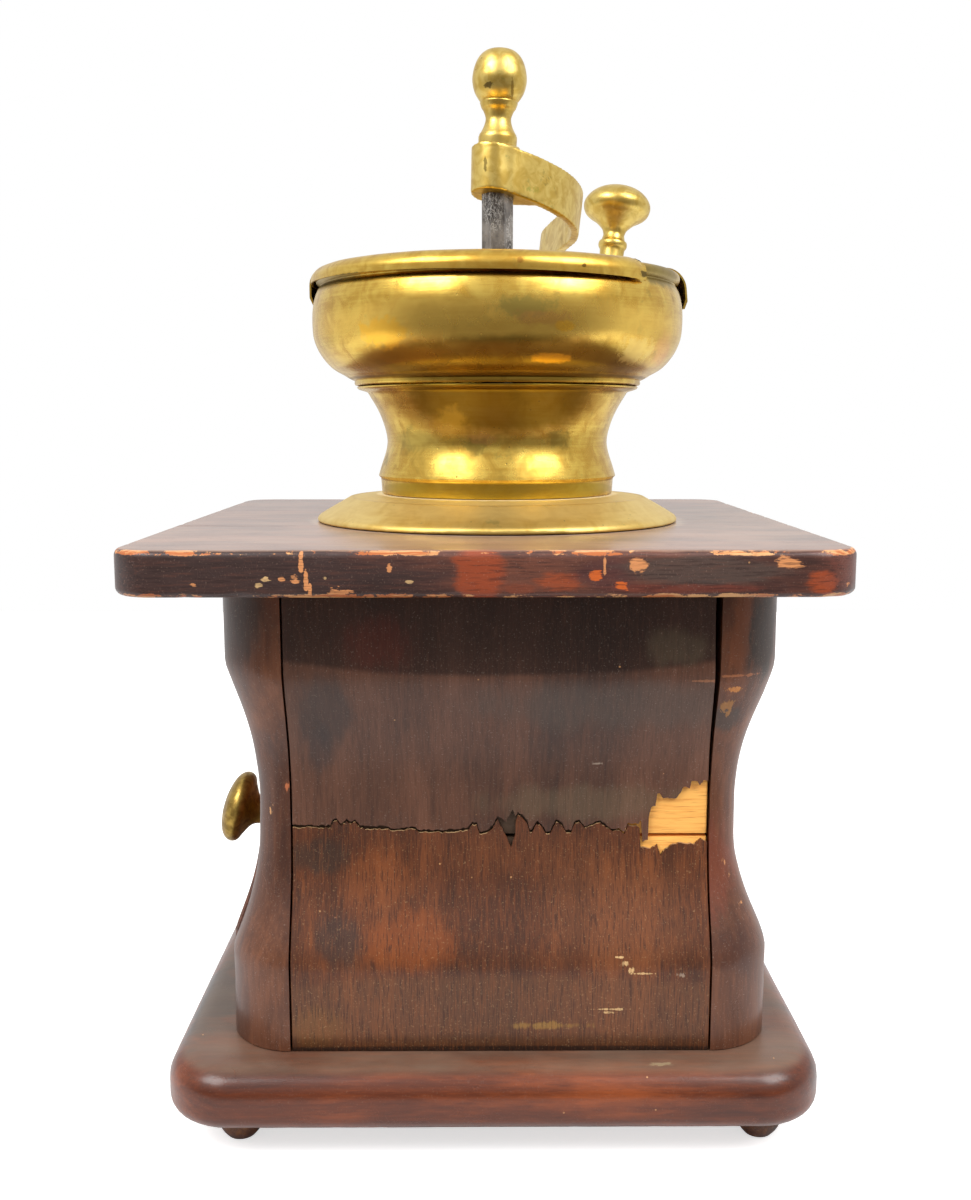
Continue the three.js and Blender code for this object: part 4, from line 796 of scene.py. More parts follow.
        self.posts = VarnishedWood(
            "stained corner posts", dark=paint(62, 35, 25), middle=paint(90, 53, 35),
            light=paint(122, 75, 50), grain=(1, 1, 10), figure=26.0, gloss=0.33, coat=0.22, pores=0.2,
            marks=(
                # Painted shade: the dark grey top of the front right post, under the top board's overhang.
                Mark((79, -92, 150), (6.5, 16, 13), paint(44, 42, 38), 0.8, 0.8, 0.52, 6.0, 0.1),
                Mark((70.5, -92, 150), (4.2, 8, 13), paint(128, 74, 46), 0.65, 0.8, 0.65, 5.0),
                Mark((69.1, -92, 126.4), (4.5, 8, 3.6), paint(62, 52, 46), 0.7, 0.7, 0.52, 4.0),
                Mark((68, -90, 78), (6, 14, 16), paint(124, 62, 44), 0.5, 0.9, 0.65, 8.0),
                Mark((72, -93, 57), (9, 14, 5), paint(66, 38, 30), 0.5, 0.9, 0.65, 7.0),
                # Painted shade: the dark top of the front left post, under the top board's overhang.
                Mark((-70, -92, 155), (9, 14, 12), paint(52, 44, 40), 0.6, 0.9, 0.39, 7.0),
                Mark((-64, -90, 118), (4, 8, 6), paint(70, 56, 54), 0.5, 0.9, 0.65, 6.0),
                Mark((70.4, -92, 135.7), (2.6, 6, 0.9), paint(204, 132, 66), 0.9, 0.3, 0.7, 1.6, 0.2),
                Mark((69, -92, 131.1), (1.6, 6, 2.0), paint(168, 116, 60), 0.75, 0.4, 1.1, 1.6, 0.2),
                Mark((71, -92, 139.8), (5, 6, 0.35), paint(180, 112, 70), 0.6, 0.4, 0.96, 2.0, 0.2),
                Mark((-57.8, -90, 105.4), (1.3, 6, 1.5), paint(190, 108, 66), 0.85, 0.4, 0.96, 1.4, 0.2),
                Mark((-63.2, -90, 97.7), (0.7, 6, 1.7), paint(216, 160, 104), 0.85, 0.4, 0.96, 1.4, 0.2),
                *nicks(-92, 6, 0.4,
                       (70.7, 82.3, 0.7, 1.2, tan, 0.7, 1.1, 1.2),
                       (72, 77.7, 0.5, 1.4, tan, 0.6, 1.1, 1.2),
                       (76.4, 69.2, 1.4, 0.5, tan, 0.7, 1.1, 1.2)),
            )).make()
        self.veneer_upper = VarnishedWood(
            "walnut veneer above the break", dark=paint(62, 42, 34), middle=paint(94, 61, 46),
            light=paint(114, 77, 60), grain=(1, 6, 16), figure=34.0, grain_size=0.9, gloss=0.36, coat=0.16,
            pores=0.45,
            marks=(
                # Painted shade: the dark band across the top of the front veneer, under the top board's
                # overhang.
                Mark((4, -95.6, 156), (90, 30, 16), paint(34, 17, 12), 0.75, 0.12, 0.02, 30.0),
                Mark((-31, -95.6, 150), (11, 12, 8), paint(86, 34, 22), 0.6, 0.9, 0.42, 7.0),
                Mark((-46, -90, 130), (7, 12, 12), paint(56, 47, 44), 0.7, 0.8, 0.31, 7.0),
                Mark((-47.4, -87, 117), (3.4, 12, 8), paint(50, 43, 43), 0.55, 0.8, 0.39, 5.0),
                Mark((56, -95.6, 148), (9, 12, 5), paint(92, 80, 62), 0.5, 0.9, 0.52, 7.0),
                Mark((30, -87, 100), (26, 12, 5), paint(104, 90, 70), 0.4, 0.9, 0.52, 9.0),
                Mark((33, -86, 112), (1.3, 12, 0.4), paint(176, 158, 140), 0.6, 0.6, 0.9, 1.6),
                Mark((40, -90, 131), (40, 16, 7), paint(82, 70, 62), 0.5, 0.9, 0.39, 9.0),
                Mark((62, -95, 138.4), (4.5, 12, 0.3), paint(176, 116, 78), 0.6, 0.4, 0.96, 2.0),
            )).make()
        self.veneer_lower = VarnishedWood(
            "walnut veneer below the break", dark=paint(56, 31, 20), middle=paint(90, 48, 26),
            light=paint(130, 72, 35), grain=(1, 6, 16), figure=24.0, grain_size=1.0, gloss=0.35, coat=0.16,
            pores=0.95, top_dust=0.85, dust=paint(214, 176, 128),
            marks=(
                Mark((-21.5, -93, 61), (12.5, 14, 8), paint(132, 66, 24), 0.5, 0.6, 0.31, 6.0),
                Mark((-31, -90, 77), (10.5, 12, 9), paint(126, 68, 32), 0.45, 0.8, 0.36, 7.0),
                Mark((-42.5, -92, 61.5), (7.5, 12, 8), paint(58, 42, 36), 0.75, 0.7, 0.36, 6.0),
                Mark((-48, -86, 84), (7, 12, 4.5), paint(56, 42, 34), 0.7, 0.8, 0.39, 6.0),
                Mark((-49, -95.6, 35), (8, 12, 6), paint(126, 82, 34), 0.65, 0.8, 0.39, 6.0),
                Mark((8, -90, 86), (30, 14, 7), paint(104, 60, 36), 0.5, 0.9, 0.39, 8.0),
                Mark((40, -92, 68), (24, 14, 16), paint(112, 66, 38), 0.4, 0.9, 0.39, 9.0),
                Mark((4, -95.6, 40), (90, 20, 11), paint(100, 64, 40), 0.5, 0.3, 0.05, 12.0),
                Mark((17.5, -95.6, 35.6), (10, 12, 1.0), paint(160, 122, 56), 0.55, 0.8, 0.78, 3.0),
                # Darker towards the foot of the veneer; the near-black line along its foot is painted shade
                # where the case meets the base board.
                Mark((4, -95.6, 29.5), (90, 20, 3.4), paint(70, 42, 22), 0.6, 0.8, 0.26, 8.0),
                Mark((4, -95.6, 28), (90, 20, 1.2), paint(22, 12, 8), 0.9, 0.6, 0.06, 4.0),
                *nicks(-95, 6, 0.4,
                       (39.0, 56.4, 1.2, 0.3, sand, 0.85, 0.8, 1.0),
                       (40.7, 54.6, 0.8, 0.7, sand, 0.85, 0.8, 0.8),
                       (42.4, 52.6, 0.8, 0.7, sand, 0.85, 0.8, 0.8),
                       (46.2, 51.6, 3.6, 0.28, sand, 0.8, 0.8, 1.0),
                       (56.5, 51.2, 1.2, 0.7, paint(170, 150, 130), 0.6, 0.96, 1.0)),
                Mark((36.6, -95.4, 40.6), (4.4, 6, 0.25), sand, 0.8, 0.4, 0.96, 1.0, 0.2),
                Mark((35.6, -95.4, 39.6), (1.4, 6, 0.3), sand, 0.75, 0.4, 0.96, 1.0, 0.2),
            )).make()
        self.veneer_plain = VarnishedWood(
            "walnut veneer of the sides", dark=paint(50, 28, 20), middle=paint(92, 54, 38),
            light=paint(122, 74, 50), grain=(1, 1, 18), figure=28.0, gloss=0.35, coat=0.14,
            pores=0.75).make()
        self.drawer_wood = VarnishedWood(
            "stained drawer front", dark=paint(54, 28, 19), middle=paint(98, 54, 36),
            light=paint(134, 78, 52), grain=(1, 14, 1), figure=24.0, gloss=0.34, coat=0.18,
            top_wear=0.5, foot_wear=0.4).make()
        self.foot_wood = VarnishedWood(
            "turned foot wood", dark=paint(44, 24, 15), middle=paint(80, 44, 25), light=paint(122, 76, 40),
            grain=(1, 1, 4), figure=9.0, gloss=0.4, coat=0.2).make()
        self.bare_wall = BarePine("bare pine wall", grain=(16, 16, 1)).make()
        # Only the patch where the veneer is lost shows pale pine; the rest of the front board is painted
        # dark brown, dirt and painted shade in the crack.
        patch = Mark((54, -85, 95), (15, 14, 17), paint(66, 46, 28), soft=0.2, ragged=0.05)
        self.front_wall = BarePine("bare pine front", grain=(16, 16, 1), clean=patch).make()
        self.pine = BarePine("drawer pine", pale=paint(214, 168, 108), ring=paint(182, 124, 70),
                             grain=(16, 1, 1)).make()
        self.iron = ForgedIron("dark iron", rust_share=0.5).make()
        self.shaft_iron = ForgedIron("iron shaft", dark=paint(78, 74, 72), rubbed=paint(150, 144, 138),
                                     rust_share=0.05, rough=0.3, worm=0.5).make()
        self.steel = ForgedIron("screw steel", dark=paint(96, 92, 88), rubbed=paint(156, 150, 142),
                                rust_share=0.35, rough=0.36).make()

    @staticmethod
    def bowl_marks() -> tuple[Mark, ...]:
        """The stains on the bowl, with painted reflections on its front: a lighter band across its middle
        and a dark reflection of the boards below it.
        """
        gold, deep = paint(250, 190, 60), paint(176, 128, 44)
        return (
            # Painted reflection: a lighter band across the middle of the bowl's front.
            Mark(rel(0, -62, 62), (70, 60, 6), paint(248, 204, 100), 0.6, 0.8, 0.12, 12.0),
            # Painted reflection: the dark reflection of the boards low on the bowl's front.
            Mark(rel(2, -56, 50.4), (47, 40, 7), paint(118, 90, 30), 0.8, 0.4, 0.07, 9.0),
            Mark(rel(-30, -50, 52.5), (14, 12, 2.4), deep, 0.5, 0.8, 0.25, 5.0),
            Mark(rel(7, -61, 65.5), (8, 12, 3), paint(140, 126, 66), 0.7, 0.9, 0.5, 4.0, 0.12),
            Mark(rel(12, -61, 62.5), (8, 12, 2), paint(204, 142, 84), 0.4, 0.8, 0.5, 4.0),
            Mark(rel(-35, -50, 58.8), (8.5, 9, 4.2), gold, 0.7, 0.5, 0.4, 2.4),
            Mark(rel(18.5, -58, 60.3), (3, 9, 1.5), gold, 0.7, 0.4, 0.2, 2.0),
            Mark(rel(15, -54, 51.4), (6, 9, 1.4), gold, 0.6, 0.5, 0.25, 2.0),
            Mark(rel(41.6, -41, 54), (6, 9, 3.6), paint(226, 196, 112), 0.6, 0.6, 0.5, 3.0, 0.08),
            Mark(rel(51, -28, 55), (3.4, 12, 5), paint(222, 150, 92), 0.4, 0.8, 0.25, 4.0),
            Mark(rel(0, -50, 46.9), (70, 70, 0.55), paint(90, 66, 30), 0.65, 0.8, 0.1, 6.0, 0.15),
            Mark(rel(-54, -24, 77.5), (14, 26, 3.5), paint(140, 124, 80), 0.75, 0.6, 0.15, 4.0, 0.15),
            Mark(rel(50, -30, 77.5), (10, 18, 3.5), paint(120, 108, 66), 0.75, 0.6, 0.2, 3.0, 0.15),
        )

    @staticmethod
    def neck_marks() -> tuple[Mark, ...]:
        """The stains on the neck, with a painted dark reflection of the top board on its upper front."""
        shade = paint(150, 136, 74)
        return (
            # Painted reflection: the dark reflection of the top board on the neck's upper front.
            Mark(rel(1, -42, 39.5), (36, 17, 10), paint(128, 102, 26), 0.8, 0.4, 0.08, 8.0, 0.04),
            Mark(rel(-7.4, -37, 25.7), (3.6, 5, 2.4), paint(112, 98, 46), 0.65, 0.8, 0.5, 3.0, 0.1),
            Mark(rel(18.5, -32, 27.5), (4, 5, 2.4), paint(112, 98, 46), 0.6, 0.8, 0.5, 3.0, 0.1),
            Mark(rel(-5, -37, 27.6), (4, 5, 1.6), paint(206, 146, 84), 0.4, 0.8, 0.4, 3.0),
            Mark(rel(-26, -26, 27), (8, 12, 3), shade, 0.4, 0.8, 0.2, 5.0, 0.08),
            Mark(rel(-15, -37, 32), (5, 8, 5), paint(220, 176, 60), 0.45, 0.9, 0.4, 4.0),
            Mark(rel(0, -39, 11.5), (46, 50, 2.9), paint(178, 148, 46), 0.75, 0.15, 0.02, 6.0, 0.04),
        )

    @staticmethod
    def lid_marks() -> tuple[Mark, ...]:
        """The soot and painted shadow at the torn corner, and the dirt at the edges of the lid."""
        soot_and_shadow = paint(40, 32, 20)
        return (
            # Painted shadow and soot: the near-black places at the torn corner of the turning half.
            Mark(rel(45, -41, 81.2), (4.2, 4, 1.6), soot_and_shadow, 0.95, 0.4, 0.6, 1.6, 0.3),
            Mark(rel(49, -38, 78), (2, 4, 3.2), soot_and_shadow, 0.95, 0.4, 0.6, 1.6, 0.3),
            Mark(rel(44, -43, 76.6), (2.6, 3, 0.9), soot_and_shadow, 0.8, 0.5, 0.4, 1.4, 0.3),
            Mark(rel(-46, -40, 76.2), (9, 8, 0.7), paint(84, 72, 44), 0.8, 0.6, 0.3, 2.0, 0.2),
            Mark(rel(0, -60, 78), (40, 8, 2.4), paint(202, 152, 60), 0.4, 0.8, 0.2, 6.0),
            Mark(rel(5.5, -61, 78.4), (0.9, 3, 0.8), paint(150, 100, 44), 0.7, 0.5, 0.3, 1.0),
            Mark(rel(24, -57, 77.4), (0.7, 3, 0.5), paint(90, 62, 30), 0.8, 0.5, 0.3, 1.0),
        )


# Meshes

def arc(centre: Point, radius: float, start: float, end: float, steps: int) -> list[Point]:
    """Points on an arc.

    Args:
        centre: The arc's centre.
        radius: Its radius.
        start: The angle of its first point, in degrees.
        end: The angle of its last point.
        steps: How many stretches it has.

    Returns:
        The points, both ends among them.
    """
    x, y = centre
    angles = [math.radians(start + (end - start) * step / steps) for step in range(steps + 1)]
    return [(x + radius * math.cos(angle), y + radius * math.sin(angle)) for angle in angles]


def flowing(outline: Sequence[Point], spacing: float = 1.0, corner: float = 38.0, ease: float = 0.35,
            closed: bool = False) -> list[Point]:
    """Draws a smooth line through an outline's points and eases its sharp corners.

    Args:
        outline: The points.
        spacing: The distance between the new points.
        corner: A turn of more degrees than this is a corner.
        ease: How far from each corner its easing starts.
        closed: Whether the last point joins the first.

    Returns:
        The smooth line's points.
    """
    points = [Vector(point) for point in outline]
    count = len(points)

    def turn_at(place: int) -> float:
        """The turn at a point, in degrees."""
        if not closed and place in (0, count - 1):
            return 180.0
        before = points[place] - points[place - 1]
        after = points[(place + 1) % count] - points[place]
        return math.degrees(before.angle(after, 0.0))

    sharp = [turn_at(place) > corner for place in range(count)]
    result: list[Point] = []
    for place in range(count if closed else count - 1):
        start, end = points[place], points[(place + 1) % count]
        span = (end - start).length
        if span < 1e-6:
            continue
        before = end - start if sharp[place] else end - points[place - 1]
        following = (place + 1) % count
        after = end - start if sharp[following] else points[(place + 2) % count] - start
        leave = before.normalized() * span
        arrive = after.normalized() * span
        trim = min(ease / span, 0.3)
        low = trim if sharp[place] and (closed or place > 0) else 0.0
        high = 1 - trim if sharp[following] and (closed or following < count - 1) else 1.0
        steps = max(1, round(span / spacing))
        for step in range(steps + (1 if high < 1.0 else 0)):
            t = low + (high - low) * step / steps
            a, b = 2 * t ** 3 - 3 * t ** 2 + 1, t ** 3 - 2 * t ** 2 + t
            c, d = 3 * t ** 2 - 2 * t ** 3, t ** 3 - t ** 2
            spot = start * a + leave * b + end * c + arrive * d
            result.append((spot.x, spot.y))
    if not closed:
        result.append(tuple(points[-1]))
    return result


class Draft:
    """A mesh being laid out in millimetres."""

    def __init__(self) -> None:
        """Starts with nothing."""
        self.points: list[Vector] = []
        self.faces: list[tuple[int, ...]] = []

    def ring(self, points: Iterable[Sequence[float]]) -> list[int]:
        """Adds points and gives their numbers."""
        start = len(self.points)
        self.points += [Vector(point) for point in points]
        return list(range(start, len(self.points)))

    def join(self, first: Sequence[int], second: Sequence[int], closed: bool = True) -> None:
        """Adds the faces between two rings of as many points, or from a ring to a single point.

        Args:
            first: The first ring.
            second: The second ring.
            closed: Whether each ring's last point joins its first.
        """
        count = max(len(first), len(second))
        for place in range(count if closed else count - 1):
            following = (place + 1) % count
            quad = [first[place % len(first)], first[following % len(first)],
                    second[following % len(second)], second[place % len(second)]]
            face = tuple(dict.fromkeys(quad))
            if len(face) > 2:
                self.faces.append(face)

    def bent(self, shape: Callable[[Vector], Vector]) -> "Draft":
        """Moves every point by a rule."""
        self.points = [shape(point) for point in self.points]
        return self

    def moved(self, matrix: Matrix) -> "Draft":
        """Moves the whole mesh by a matrix in millimetres."""
        self.points = [matrix @ point for point in self.points]
        return self

    def piece(self, name: str, material: Material, crease: float = 32.0) -> Piece:
        """Makes the mesh object.

        Args:
            name: The object's name.
            material: Its finish.
            crease: Edges that bend by more degrees than this are drawn sharp.

        Returns:
            The object, in metres.
        """
        mesh = bpy.data.meshes.new(name)
        mesh.from_pydata([point * MM for point in self.points], [], self.faces)
        tidy = bmesh.new()
        tidy.from_mesh(mesh)
        bmesh.ops.remove_doubles(tidy, verts=tidy.verts, dist=1e-7)
        bmesh.ops.dissolve_degenerate(tidy, edges=tidy.edges, dist=1e-8)
        bmesh.ops.recalc_face_normals(tidy, faces=tidy.faces)
        tidy.to_mesh(mesh)
        tidy.free()
        mesh.shade_smooth()
        mesh.set_sharp_from_angle(angle=math.radians(crease))
        mesh.materials.append(material)
        made = bpy.data.objects.new(name, mesh)
        bpy.context.scene.collection.objects.link(made)
        return made


def spin(outline: Sequence[Point], segments: int, start: float = 0.0, sweep: float = 360.0) -> Draft:
    """Turns an outline of [radius, height] points round Z.

    Args:
        outline: A closed outline, or one that starts and ends on the axis.
        segments: How many steps the turn has.
        start: The angle it starts at, in degrees.
        sweep: How far it turns. Less than a whole turn gives flat ends.

    Returns:
        The mesh.
    """
    draft = Draft()
    whole = sweep >= 360
    count = segments if whole else segments + 1
    angles = [math.radians(start + sweep * step / segments) for step in range(count)]
    rings = []
    for radius, height in outline:
        if radius < 1e-4:
            rings.append(draft.ring([(0, 0, height)]))
        else:
            rings.append(draft.ring([(radius * math.cos(a), radius * math.sin(a), height) for a in angles]))
    open_ends = outline[0][0] < 1e-4 and outline[-1][0] < 1e-4
    pairs = zip(rings, rings[1:] if open_ends else rings[1:] + rings[:1])
    for first, second in pairs:
        draft.join(first, second, whole)
    if not whole:
        draft.faces.append(tuple(ring[0] for ring in rings))
        draft.faces.append(tuple(ring[-1] for ring in reversed(rings)))
    return draft


def loft(rings: Sequence[Sequence[Sequence[float]]]) -> Draft:
    """Joins closed rings of as many points, and closes both ends."""
    draft = Draft()
    placed = [draft.ring(ring) for ring in rings]
    for first, second in zip(placed, placed[1:]):
        draft.join(first, second)
    draft.faces.append(tuple(reversed(placed[0])))
    draft.faces.append(tuple(placed[-1]))
    return draft


def shift(x: float = 0, y: float = 0, z: float = 0) -> Matrix:
    """A move, in millimetres."""
    return Matrix.Translation((x, y, z))


def swell(point: Vector, size: float, seed: float) -> float:
    """Smooth noise at a point, about -1 to 1."""
    return noise.noise(point / size + Vector((seed, seed * 2.3, seed * 0.7)))


def applied(target: Piece, kind: str, **settings: object) -> Piece:
    """Runs a modifier on an object and keeps its result.

    Args:
        target: The object.
        kind: The modifier's type.
        **settings: What is set on it.

    Returns:
        The same object.
    """
    modifier = target.modifiers.new(kind.lower(), kind)
    for name, value in settings.items():
        setattr(modifier, name, value)
    view = bpy.context.evaluated_depsgraph_get()
    mesh = bpy.data.meshes.new_from_object(target.evaluated_get(view))
    old = target.data
    target.modifiers.clear()
    target.data = mesh
    mesh.name = old.name
    bpy.data.meshes.remove(old)
    return target


def combined(target: Piece, tool: Piece, operation: str) -> Piece:
    """Cuts one object by another, or joins them, and removes the tool."""
    applied(target, "BOOLEAN", object=tool, operation=operation, solver="EXACT")
    bpy.data.objects.remove(tool)
    return target


def smoothed(target: Piece, crease: float) -> Piece:
    """Shades an object smooth, apart from its sharp edges."""
    target.data.shade_smooth()
    target.data.set_sharp_from_angle(angle=math.radians(crease))
    return target


def seat(piece: Piece, body: Body, slot: Slot, *nodes: str) -> Piece:
    """Puts a finished piece on its body and hides the CAD nodes that it stands for.

    Args:
        piece: The piece.
        body: The body that it rides on.
        slot: The record's slot for its finish. Not used.
        *nodes: The CAD nodes that it stands for.

    Returns:
        The piece.
    """
    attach(piece, body.value)
    if nodes:
        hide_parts(*nodes)
    LOG.info("%s: %d faces", piece.name, len(piece.data.polygons))
    return piece


def dress(node: str, material: Material, bevel: float = 0.0) -> None:
    """Gives a CAD node its finish and, if asked, eased edges.

    Args:
        node: The CAD node.
        material: The finish.
        bevel: How far its edges are eased, in millimetres.
    """
    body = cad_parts[node]
    if not body.material_slots:
        body.data.materials.append(material)
    for material_slot in body.material_slots:
        material_slot.material = material
    if bevel:
        ease = body.modifiers.new("eased edges", "BEVEL")
        ease.width = bevel * MM
        ease.segments = 2
        ease.limit_method = "ANGLE"
        ease.angle_limit = math.radians(40)
    LOG.info("%s dressed in %s", node, material.name)


# Wood

@dataclass(frozen=True)
class CaseShape:
    """The hollowed case's sizes, in millimetres; heights are below the case's top."""

    half: float = 80.85
    post_side: float = 61.35
    post_gap: float = 0.6
    inner: float = 62.0
    hollow_top: float = 23.2
    waist: float = 68.9
    hollow_bottom: float = 111.1
    depth: float = 10.4
    spread: float = 1.37
    power: float = 1.47
    left_depth: float = 8.8
    left_flatness: float = 0.8
    veneer: float = 0.9
    seat: float = 0.3
    split: float = 75.3
    split_gap: float = 1.1

    @property
    def half_width(self) -> float:
        """Half the width between two posts."""
        return self.post_side - self.post_gap / 2

    def recess(self, height: float) -> float:
        """How far the faces lie inside their widest at a height."""
        top, low = CASE_TOP - self.hollow_top, CASE_TOP - self.hollow_bottom
        waist = CASE_TOP - self.waist
        reach = top - waist if height > waist else waist - low
        along = min(abs(height - waist) / reach, 1.0)
        return self.depth * max(math.cos(math.pi / 2 * along ** self.spread), 0.0) ** self.power

    def face(self, height: float) -> float:
        """How far off the axis a face lies at a height."""
        return self.half - self.recess(height)

    def back(self, height: float) -> float:
        """How far off the axis the back of a face's veneer lies at a height."""
        return self.face(height) - self.veneer

    def left_face(self, height: float) -> float:
        """The same for the left side, which is hollowed less."""
        share = self.recess(height) / self.depth
        return self.half - self.left_depth * share ** self.left_flatness

    def levels(self, low: float, high: float, step: float = 2.4) -> list[float]:
        """The evenly spaced heights of a curved piece's rings."""
        count = max(2, round((high - low) / step))
        return [low + (high - low) * place / count for place in range(count + 1)]


class Wall(Enum):
    """The case's sides, as the angle that turns +X to them."""

    RIGHT = 0
    BACK = 90
    LEFT = 180
    FRONT = 270


def side_matrix(side: Wall) -> Matrix:
    """Turns a wall that faces +X off the axis to its side of the case."""
    return shift(AXIS.x, AXIS.y) @ Matrix.Rotation(math.radians(side.value), 4, "Z")


def wall(case: CaseShape, low: float, high: float, inner: Reach, outer: Reach, half: float,
         columns: int = 24, ease: float = 0.35) -> Draft:
    """A piece of wall facing +X, with eased outer edges.

    Args:
        case: The case's sizes.
        low: Its lowest height.
        high: Its highest height.
        inner: The distance of its back off the axis at each height.
        outer: The distance of its face.
        half: Half its width.
        columns: How many columns of faces it has.
        ease: How far its outer edges are eased.

    Returns:
        The mesh.
    """
    heights = case.levels(low, high)
    across = [-half + 2 * half * step / columns for step in range(columns + 1)]
    rings = []
    for place, height in enumerate(heights):
        end = ease if place in (0, len(heights) - 1) else 0.0
        face = outer(height) - end
        front = [(face, y, height) for y in across]
        front[0] = (face - ease, -half, height)
        front[-1] = (face - ease, half, height)
        front.insert(1, (face, -half + ease, height))
        front.insert(-1, (face, half - ease, height))
        rings.append(front + [(inner(height), half, height), (inner(height), -half, height)])
    return loft(rings)


@dataclass
class Case:
    """The hollowed wooden case: posts, glued boards, veneers and the lintel over the drawer."""

    finishes: Finishes
    shape: CaseShape = field(default_factory=CaseShape)
    low: float = BASE_TOP + 0.3
    high: float = CASE_TOP - 0.3
    uneven: float = 0.3
    joint_gape: ClassVar[float] = 1.25
    gape_start: ClassVar[Point] = (45, 100)
    gape_reach: ClassVar[Point] = (16, 55)

    @classmethod
    def shrunk(cls, point: Vector) -> Vector:
        """Draws the front wall's right edge away from its post towards the top, as shrinking wood does."""
        across = max(point.x - AXIS.x - cls.gape_start[0], 0) / cls.gape_reach[0]
        share = held((point.z - cls.gape_start[1]) / cls.gape_reach[1])
        return Vector((point.x - cls.joint_gape * across * share, point.y, point.z))

    def post(self, corner: str, quarter: int, face_x: Reach, face_y: Reach) -> Piece:
        """A corner post.

        Args:
            corner: The corner's name.
            quarter: How many quarter turns take it from the back right corner.
            face_x: The distance of its first face off the axis at each height.
            face_y: The distance of its second face.

        Returns:
            The post.
        """
        inner = self.shape.post_side + self.shape.post_gap / 2
        rings = []
        for height in self.shape.levels(self.low, self.high, 2.0):
            reach_x, reach_y = face_x(height) - inner, face_y(height) - inner
            quarter_round = arc((0, 0), 1.0, 0, 90, 18)
            outer = [(inner + x * reach_x, inner + y * reach_y, height) for x, y in quarter_round]
            rings.append([(inner, inner, height)] + outer)
        draft = loft(rings)

        def worn(point: Vector) -> Vector:
            """Makes the hand-worked faces slightly uneven."""
            outward = Vector((point.x - inner, point.y - inner, 0))
            if outward.length < 1:
                return point
            return point - outward.normalized() * self.uneven * max(swell(point, 11.0, quarter), 0)

        turn = Matrix.Rotation(math.radians(90 * quarter), 4, "Z")
        made = draft.bent(worn).moved(shift(AXIS.x, AXIS.y) @ turn)
        name = "corner_post_" + corner
        return seat(made.piece("visual_" + name, self.finishes.posts, 40), Body.MILL, Slot.POSTS, name)

    def boards(self) -> None:
        """The two glued pine boards of each plain wall."""
        shape = self.shape
        split = CASE_TOP - shape.split
        gap = shape.split_gap / 2
        spans = {"lower": (self.low, split - gap), "upper": (split + gap, self.high)}
        for side in (Wall.RIGHT, Wall.BACK, Wall.FRONT):
            for level, (low, high) in spans.items():
                draft = wall(shape, low, high, lambda height: shape.inner,
                             lambda height: shape.back(height) - shape.seat / 2, shape.half_width)
                node = side.name.lower() + "_board_" + level
                wood = self.finishes.front_wall if side is Wall.FRONT else self.finishes.bare_wall
                draft.moved(side_matrix(side))
                if side is Wall.FRONT:
                    draft.bent(self.shrunk)
                board = draft.piece("visual_" + node, wood)
                seat(board, Body.MILL, Slot.PINE, node)

    def veneers(self) -> None:
        """The whole veneers of the right and back walls."""
        shape = self.shape
        for side in (Wall.RIGHT, Wall.BACK):
            draft = wall(shape, self.low, self.high, shape.back, shape.face, shape.half_width, 24, 0.2)
            node = side.name.lower() + "_veneer"
            sheet = draft.moved(side_matrix(side)).piece("visual_" + node, self.finishes.veneer_plain)
            seat(sheet, Body.MILL, Slot.VENEER, node)

    def lintel(self) -> None:
        """The board over the drawer."""
        shape = self.shape
        low = frame_box("drawer_lintel")[0].z
        draft = wall(shape, low, self.high, lambda height: shape.inner, shape.left_face, shape.half_width,
                     24, 0.6)
        board = draft.moved(side_matrix(Wall.LEFT)).piece("visual_drawer_lintel", self.finishes.drawer_wood)
        seat(board, Body.MILL, Slot.BOARDS, "drawer_lintel")

    def build(self) -> None:
        """Builds the whole case."""
        face, left = self.shape.face, self.shape.left_face
        corners = (("back_right", face, face), ("back_left", face, left), ("front_left", left, face),
                   ("front_right", face, face))
        for quarter, (corner, face_x, face_y) in enumerate(corners):
            self.post(corner, quarter, face_x, face_y)
        self.boards()
        self.veneers()
        self.lintel()
        BrokenVeneer(self.finishes, self.shape, self.low, self.high).build()
        for corner in CORNERS:
            dress("case_screw_" + corner, self.finishes.steel, 0.2)


